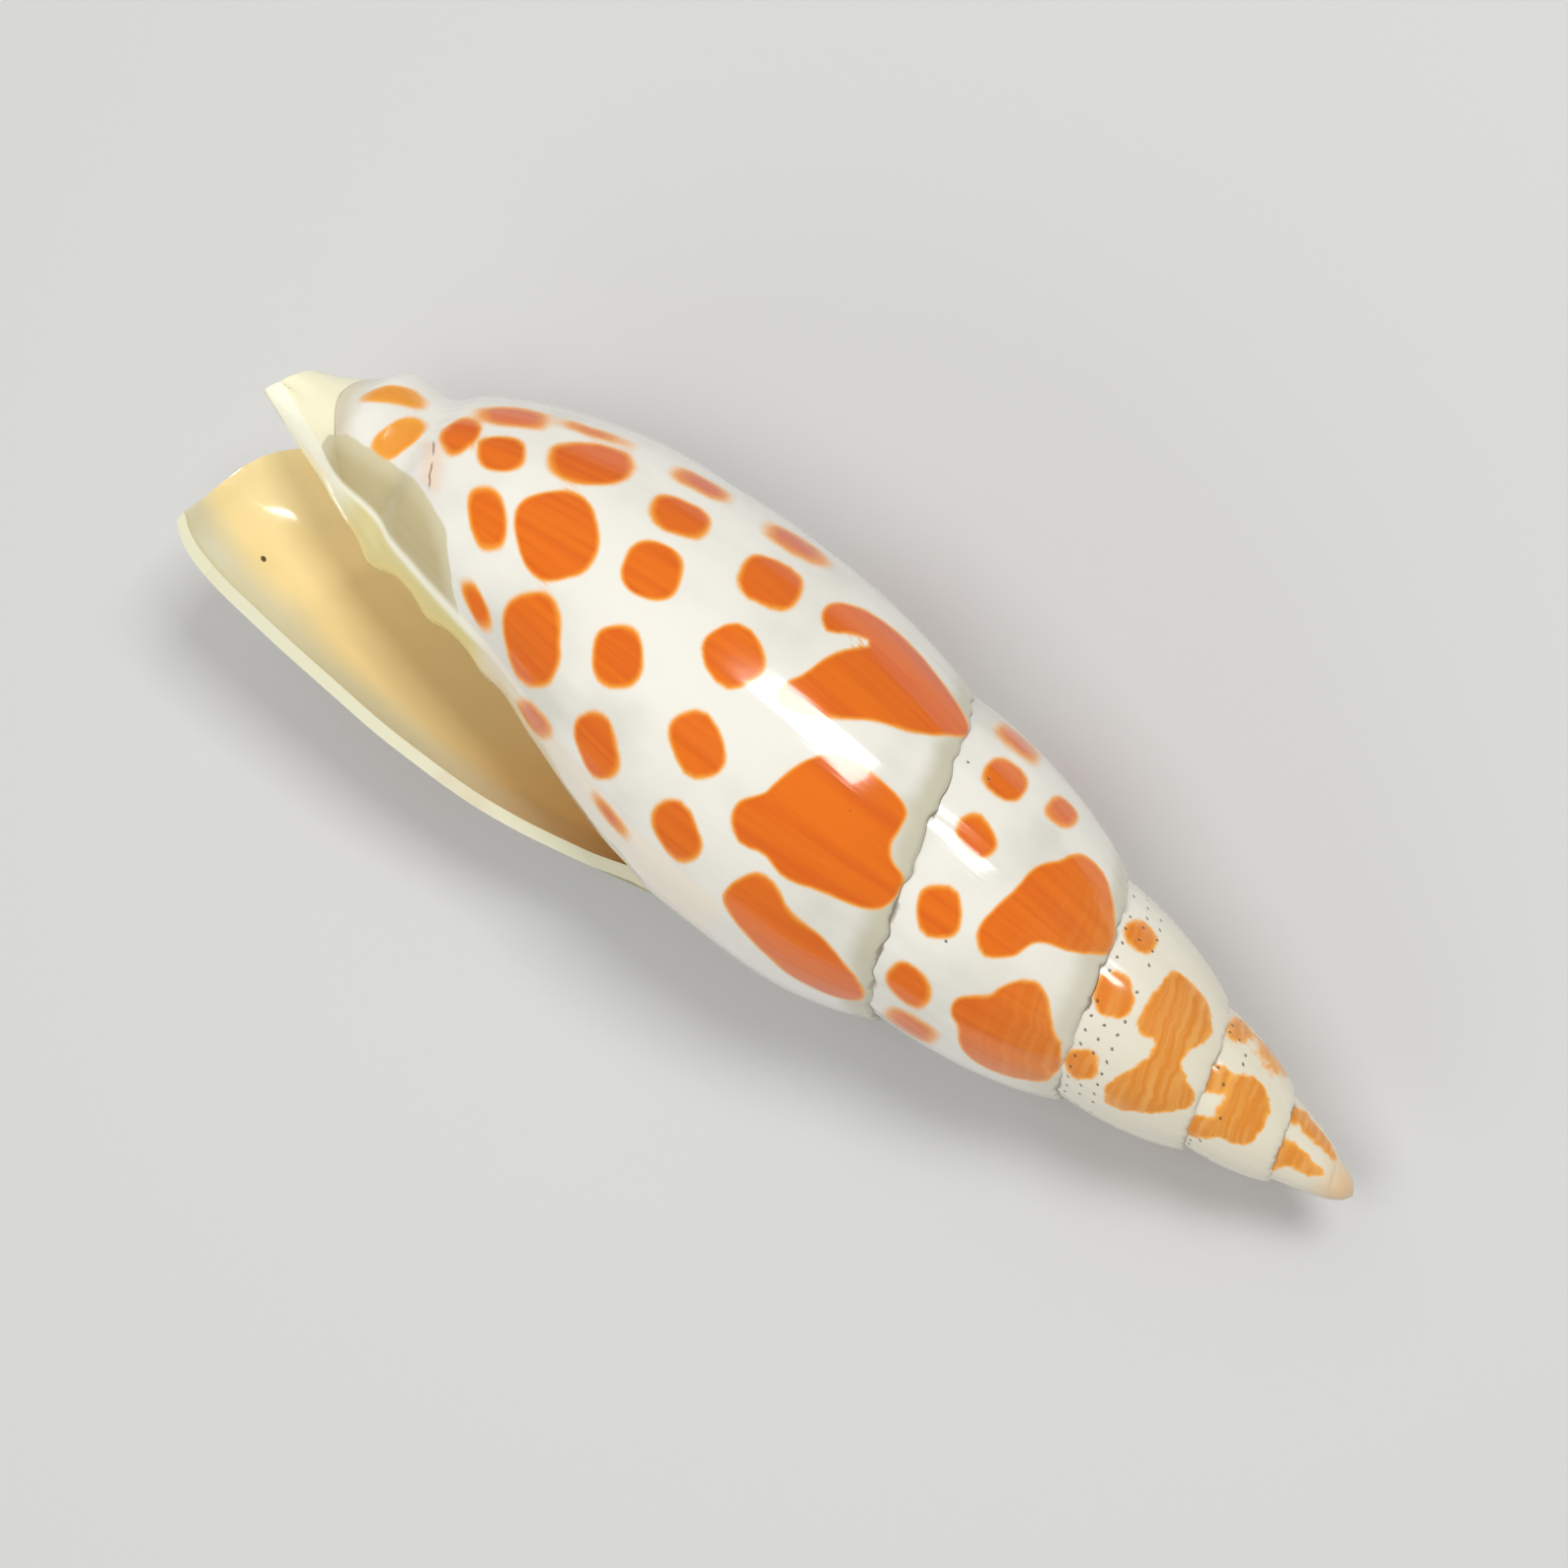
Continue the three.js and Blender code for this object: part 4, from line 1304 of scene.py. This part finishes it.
class Enamel(Paint):
    # the shell's colours, laid over each other from the white ground up
    def __init__(self, material):
        super().__init__(material)
        self.turn, self.distance, self.below = self.parts(self.attribute("shellPlace").outputs["Vector"])
        self.hollow, self.pillar, self.rim = self.parts(self.attribute("shellZone").outputs["Vector"])
        self.toSuture = self.attribute("toSuture").outputs["Fac"]
        self.patch = self.attribute("patch").outputs["Fac"]
        self.callus = self.attribute("callus").outputs["Fac"]
        self.where = self.node("ShaderNodeTexCoord").outputs["Object"]
        self.onSpire = self.fade(self.distance, "spireFade")
        self.cloud = self.noise(self.where, "cloudGrain")
        self.wander = self.times(self.uneven("edgeGrain"), enamelForm["edgeWander"])
        self.pits = []

    def uneven(self, grain):
        # a noise about zero
        return self.less(self.noise(self.where, grain), 0.5)

    def lines(self, along, place, grain):
        # streaks, a number to the turn and a number to the millimetre
        perTurn, perLength = enamelForm[place]
        return self.noise(self.join(self.times(self.turn, perTurn), self.times(along, perLength)), grain)

    def farness(self, sideways, lengthways):
        return self.sum("SQRT", self.plus(self.times(sideways, sideways), self.times(lengthways, lengthways)))

    def ground(self):
        # faint clouds, a peach tip, an olive band under each suture, a pale cream edge along the mouth
        # brightened as a painted highlight
        form = enamelForm
        colour = self.blend("white", "greyWhite", self.fade(self.cloud, "cloudFade"))
        colour = self.blend(colour, "spireWhite", self.onSpire)
        apex = self.times(self.fade(self.distance, "apexFade"), form["apexShare"])
        colour = self.blend(colour, "apexPeach", apex)
        wavy = self.plus(self.below, self.times(self.noise(self.where, "bandGrain"), form["bandWave"]))
        band = self.times(self.fade(wavy, "bandFade"), self.fade(self.distance, "bandEndFade"))
        colour = self.blend(colour, "sutureBand", self.times(band, form["bandShare"]))
        # cream enamel along the pillar edge of the mouth, brightened as a painted highlight
        lean = self.times(self.less(form["stripMiddle"], self.distance), form["stripLean"])
        strip = self.fade(self.plus(self.turn, lean), "stripHighlightFade")
        return self.blend(colour, "pillarStripHighlight", self.times(strip, self.fade(self.distance, "stripEndFade")))

    def marks(self, ground):
        # streaked along the growth lines on the body, round the shell on the spire, with a yellow fringe, and
        # a painted reflection that tints the marks redder along the upper edge in view
        form = enamelForm
        streak = self.lines(self.distance, "streakPlace", "streakGrain")
        streaked = self.times(self.fade(streak, "streakFade"), form["streakShare"])
        colour = self.blend("orange", "deepOrange", streaked)
        # painted reflection: marks on the side that forms the upper edge in view are tinted red
        reflectionSide = self.times(self.fade(self.turn, "reflectionFade"), self.fade(self.turn, "reflectionEndFade"))
        colour = self.blend(colour, "reflectedRedOrange", self.times(reflectionSide, form["reflectionShare"]))
        threads = self.fade(self.lines(self.toSuture, "threadPlace", "threadGrain"), "threadFade")
        spire = self.blend("spireOrange", "spireStreak", self.times(threads, form["threadShare"]))
        colour = self.blend(colour, spire, self.onSpire)
        atFront = self.times(self.fade(self.distance, "frontFade"), form["frontShare"])
        colour = self.blend(colour, "frontOrange", atFront)
        ragged = self.times(self.uneven("raggedGrain"), self.onSpire, form["raggedWander"])
        edge = self.plus(self.patch, self.wander, ragged)
        softness = self.times(self.noise(self.where, "fringeGrain"), form["fringeWander"])
        fringeEnd = self.plus(form["fringeWidth"], softness)
        colour = self.blend("fringe", colour, self.rise(edge, form["fringeStart"], fringeEnd))
        return self.blend(ground, colour, self.fade(edge, "markFade"))

    def punctures(self, colour):
        # rows of fine pits in front of each suture of the spire, with gaps by chance
        form = enamelForm
        perTurn = form["puncturesPerTurn"]
        rowHeight = self.times(self.plus(self.below, self.toSuture), form["punctureRowShare"])
        row = self.sum("DIVIDE", self.toSuture, rowHeight)
        column = self.times(self.turn, perTurn)
        chance = self.node("ShaderNodeTexWhiteNoise", noise_dimensions="2D")
        self.link(self.join(self.sum("FLOOR", column), self.sum("FLOOR", row)), chance.inputs["Vector"])
        chance = chance.outputs["Value"]
        spread = self.sum("POWER", self.distance, shellForm["spirePower"])
        columnWidth = self.times(spread, form["whorlRound"] / perTurn)
        sideways = self.times(self.less(self.sum("FRACT", column), 0.5), columnWidth)
        lengthways = self.times(self.less(self.sum("FRACT", row), 0.5), rowHeight)
        lengthways = self.plus(lengthways, self.times(self.less(chance, 0.5), form["punctureJitter"]))
        away = self.farness(sideways, lengthways)
        nearBody = self.times(self.fade(self.distance, "fewerFade"), form["fewerShare"])
        nearTip = self.times(self.fade(self.distance, "tipFewerFade"), form["tipFewerShare"])
        kept = self.sum("GREATER_THAN", chance, self.plus(form["fewest"], nearBody, nearTip))
        inRows = self.times(
            self.sum("LESS_THAN", row, form["punctureRows"]),
            self.sum("GREATER_THAN", self.toSuture, form["punctureGap"]),
            self.fade(self.distance, "punctureBodyFade"),
            self.fade(self.distance, "punctureTipFade"))
        pit = self.times(self.fade(away, "punctureFade"), kept, inRows)
        self.pits.append(pit)
        return self.blend(colour, "puncture", self.times(pit, form["punctureShare"]))

    def flecks(self, colour):
        cells = self.node("ShaderNodeTexVoronoi")
        self.link(self.where, cells.inputs["Vector"])
        cells.inputs["Scale"].default_value = enamelForm["fleckScale"]
        kept = self.sum("GREATER_THAN", self.parts(cells.outputs["Color"])[0], enamelForm["fleckKept"])
        fleck = self.times(self.fade(cells.outputs["Distance"], "fleckFade"), kept, enamelForm["fleckShare"])
        return self.blend(colour, "puncture", fleck)

    def sutures(self, colour):
        # a thin dark line, here and there wider where the edge is chipped
        form = enamelForm
        chips = self.times(self.fade(self.noise(self.where, "chipGrain"), "chipFade"), form["chipReach"])
        fromLine = self.sum("MINIMUM", self.below, self.toSuture)
        line = self.rise(fromLine, self.plus(form["lineReach"], chips), form["lineCore"])
        broken = self.fade(self.noise(self.where, "lineGrain"), "lineFade")
        line = self.times(line, broken, self.fade(self.distance, "lineTipFade"))
        self.pits.append(line)
        return self.blend(colour, "sutureLine", self.times(line, form["lineShare"]))

    def collar(self, colour):
        # the collar ends in an arc, and the pale front tip shows past it
        form = enamelForm
        onFront = self.fade(self.distance, "collarFade")
        behind = self.sum("MAXIMUM", self.less(form["collarTurn"], self.turn), 0.0)
        arc = self.times(behind, behind, form["collarArc"])
        past = self.plus(self.less(self.distance, form["collarReach"]), arc)
        ending = self.times(self.fade(past, "collarEndFade"), onFront, form["collarEndShare"])
        colour = self.blend(colour, "collarEnd", ending)
        colour = self.blend(colour, "frontTip", self.times(self.fade(past, "frontTipFade"), onFront))
        line = self.times(self.fade(self.sum("ABSOLUTE", past), "collarLineFade"), onFront)
        return self.blend(colour, "collarLine", self.times(line, self.fade(self.cloud, "collarLineBreaks")))

    def pillarPlate(self, colour):
        # the glazed plate over the pillar, its cream ridge with a painted highlight along its rounded edge,
        # and the lobes of the folds below
        form = enamelForm
        paler = self.plus(self.callus, self.times(self.cloud, form["plateClouds"]))
        plate = self.blend("callus", "callusPale", self.fade(paler, "platePaleFade"))
        glaze = self.fade(self.plus(self.callus, self.times(self.wander, form["plateWander"])), "plateFade")
        colour = self.blend(colour, plate, self.times(glaze, form["plateShare"]))
        overFolds = self.fade(self.distance, "foldsFade")
        # painted highlight: the pillar's rounded edge is drawn near white over the cream enamel
        paintedRidgeHighlight = self.fade(self.plus(self.turn, self.times(self.cloud, form["ridgeClouds"])), "ridgeHighlightFade")
        colour = self.blend(colour, "pillarRidgeHighlight", self.times(paintedRidgeHighlight, overFolds))
        lobe = self.times(self.fade(self.turn, "lobeFade"), overFolds)
        return self.blend(colour, "foldLobe", self.times(lobe, self.fade(self.distance, "lobeEndFade")))

    def crack(self, colour):
        # a short crack across the collar, with a peach tint around it
        form = enamelForm
        lean = self.times(self.plus(self.turn, form["crackTurn"]), form["crackLean"])
        wobble = self.times(self.uneven("crackGrain"), form["crackWobble"])
        away = self.plus(self.less(self.distance, self.plus(form["crackReach"], lean)), wobble)
        away = self.sum("ABSOLUTE", away)
        along = self.times(self.fade(self.turn, "crackStartFade"), self.fade(self.turn, "crackEndFade"))
        tint = self.times(self.fade(away, "tintFade"), along, form["tintShare"])
        colour = self.blend(colour, "crackTint", tint)
        broken = self.fade(self.noise(self.where, "crackBreakGrain"), "crackBreaks")
        line = self.times(self.fade(away, "crackFade"), along, broken)
        self.pits.append(line)
        return self.blend(colour, "crack", self.times(line, form["crackShare"]))

    def mouth(self, colour):
        # from the pale rim to the deep orange, with the folds and one dark speck
        form = enamelForm
        uneven = self.times(self.less(self.cloud, 0.5), form["mouthClouds"])
        depth = self.node("ShaderNodeMapRange")
        self.link(self.plus(self.turn, uneven), depth.inputs["Value"])
        depth.inputs["From Min"].default_value = 0
        depth.inputs["From Max"].default_value = form["mouthTurns"]
        inner = self.ramp(depth.outputs[0], mouthTones)
        warmth = self.times(self.fade(self.distance, "mouthWarmFade"), form["mouthWarmShare"])
        inner = self.blend(inner, "mouthOrange", warmth)
        inner = self.blend(inner, "foldShade", self.times(self.pillar, self.fade(self.turn, "foldShadeFade")))
        around = self.times(self.plus(self.turn, form["speckTurn"]), form["speckRound"])
        along = self.less(self.distance, form["speckReach"])
        inner = self.blend(inner, "puncture", self.fade(self.farness(around, along), "speckFade"))
        return self.blend(colour, inner, self.hollow)

    def lipRim(self, colour):
        form = enamelForm
        fromLip = self.times(self.turn, form["rimRound"])
        outer = self.times(self.fade(fromLip, "rimFade"), self.less(1.0, self.hollow))
        stain = self.times(self.fade(self.noise(self.where, "stainGrain"), "stainFade"), form["stainShare"])
        rimColour = self.blend("rim", "rimStain", stain)
        share = self.times(self.sum("MAXIMUM", outer, self.rim), form["rimShare"])
        return self.blend(colour, rimColour, share)

    def polish(self):
        # gloss, a little light under the surface, and fine relief
        form = enamelForm
        settings = {
            "Roughness": form["roughness"],
            "IOR": form["ior"],
            "Coat Weight": form["coatWeight"],
            "Coat Roughness": form["coatRoughness"],
            "Subsurface Weight": form["subsurface"],
            "Subsurface Radius": form["subsurfaceRadius"],
            "Subsurface Scale": form["subsurfaceScale"],
        }
        for name, value in settings.items():
            self.surface.inputs[name].default_value = value
        growth = self.times(self.lines(self.distance, "growthPlace", "growthGrain"), form["growthRelief"])
        bump = self.node("ShaderNodeBump")
        bump.inputs["Distance"].default_value = form["reliefDepth"]
        bump.inputs["Strength"].default_value = form["reliefStrength"]
        self.link(self.less(growth, self.plus(*self.pits)), bump.inputs["Height"])
        self.link(bump.outputs[0], self.surface.inputs["Normal"])


def makeEnamel():
    material = bpy.data.materials.new("shell enamel")
    enamel = Enamel(material)
    colour = enamel.marks(enamel.ground())
    colour = enamel.punctures(colour)
    colour = enamel.flecks(colour)
    colour = enamel.sutures(colour)
    colour = enamel.collar(colour)
    colour = enamel.pillarPlate(colour)
    colour = enamel.crack(colour)
    colour = enamel.mouth(colour)
    colour = enamel.lipRim(colour)
    enamel.link(colour, enamel.surface.inputs["Base Color"])
    enamel.polish()
    return material


zoneForm = {
    "pillarFacing": 0.1,
    "lipTurns": 0.01,
    "lipFacing": 0.6,
    "lipFrom": 50 * mm,
}


def findZones(mesh, corners, rest):
    # which corners lie in the hollow, on its pillar side, and on the end face of the lip
    normals = np.empty(len(mesh.polygons) * 3, dtype=np.float32)
    mesh.polygons.foreach_get("normal", normals)
    totals = np.empty(len(mesh.polygons), dtype=np.int32)
    mesh.polygons.foreach_get("loop_total", totals)
    faceOf = np.repeat(np.arange(len(totals)), totals)
    turned = np.array(rest.to_3x3().inverted())
    local = (turned @ normals.reshape(-1, 3).T).T[faceOf]
    turn = corners["turn"]
    angle = shellForm["lipAngle"] + 2 * math.pi * turn
    radial = local[:, 1] * np.sin(angle) + local[:, 2] * np.cos(angle)
    forward = local[:, 1] * np.cos(angle) - local[:, 2] * np.sin(angle)
    hollow = corners["zone"] > 0.5
    pillar = hollow & (radial > zoneForm["pillarFacing"])
    near = zoneForm["lipTurns"]
    atLip = (turn < near - 1) & (turn > -1 - near) | (turn > -near)
    rim = ~hollow & atLip & (forward > zoneForm["lipFacing"]) & (corners["distance"] > zoneForm["lipFrom"])
    return np.stack((hollow, pillar, rim), axis=1).astype(np.float32)


roomForm = {
    "floorSize": 6,
    "floorColour": (0.62, 0.62, 0.61, 1),
    "floorRoughness": 0.9,
    "worldColour": (1, 1, 1, 1),
    "worldStrength": 0.27,
}

# Plain rectangles of light that face the shell: place and sides in metres, turn in degrees, power in
# watts. Only the window shows as a reflection.
studioLights = {
    "window": {"place": (0.107, 0.29, 0.61), "size": (0.27, 0.2), "turn": 12, "power": 2.2},
    "soft sky": {"place": (-0.55, 0.35, 0.9), "size": (0.9, 0.9), "turn": 0, "power": 1.7},
    "over the mouth": {"place": (-0.08, -0.16, 0.62), "size": (0.3, 0.3), "turn": 0, "power": 1.25},
    "low fill": {"place": (-0.2, -0.8, 0.5), "size": (0.8, 0.4), "turn": 0, "power": 1.8},
}
mirroredLight = "window"


def simpleMaterial(name, colour, roughness):
    material = bpy.data.materials.new(name)
    material.use_nodes = True
    surface = material.node_tree.nodes["Principled BSDF"]
    surface.inputs["Base Color"].default_value = colour
    surface.inputs["Roughness"].default_value = roughness
    return material


def makeRoom():
    half = roomForm["floorSize"] / 2
    mesh = bpy.data.meshes.new("floor")
    corners = [(-half, -half, 0), (half, -half, 0), (half, half, 0), (-half, half, 0)]
    mesh.from_pydata(corners, [], [(0, 1, 2, 3)])
    floor = bpy.data.objects.new("floor", mesh)
    bpy.context.collection.objects.link(floor)
    mesh.materials.append(simpleMaterial("floor paper", roomForm["floorColour"], roomForm["floorRoughness"]))
    world = bpy.data.worlds.new("studio")
    bpy.context.scene.world = world
    world.use_nodes = True
    background = world.node_tree.nodes["Background"]
    background.inputs["Color"].default_value = roomForm["worldColour"]
    background.inputs["Strength"].default_value = roomForm["worldStrength"]
    for name, form in studioLights.items():
        data = bpy.data.lights.new(name, "AREA")
        data.shape = "RECTANGLE"
        data.size, data.size_y = form["size"]
        data.energy = form["power"]
        light = bpy.data.objects.new(name, data)
        bpy.context.collection.objects.link(light)
        light.visible_glossy = name == mirroredLight
        aim = (-Vector(form["place"])).to_track_quat("-Z", "Y").to_matrix().to_4x4()
        spin = Matrix.Rotation(math.radians(form["turn"]), 4, "Z")
        light.matrix_world = Matrix.Translation(form["place"]) @ aim @ spin
    bpy.context.scene.view_settings.view_transform = "Standard"


enamel = makeEnamel()
shellMesh = growShell(shellForm, enamel)
rest = restPlace(shellMesh)
shellMesh.name = "shell enamel body"
shellPiece = bpy.data.objects.new("shell_enamel", shellMesh)
bpy.context.collection.objects.link(shellPiece)
print("stage: shell grown and laid down", len(shellMesh.polygons))
camera = makeCamera(rest)
markShell(shellMesh, rest, camera)
shellMesh.polygons.foreach_set("use_smooth", [True] * len(shellMesh.polygons))
sharpAngle = math.radians(38)
shellMesh.set_sharp_from_angle(angle=sharpAngle)
print("stage: marks painted")
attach(shellPiece, "root")
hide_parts("shell")
makeRoom()
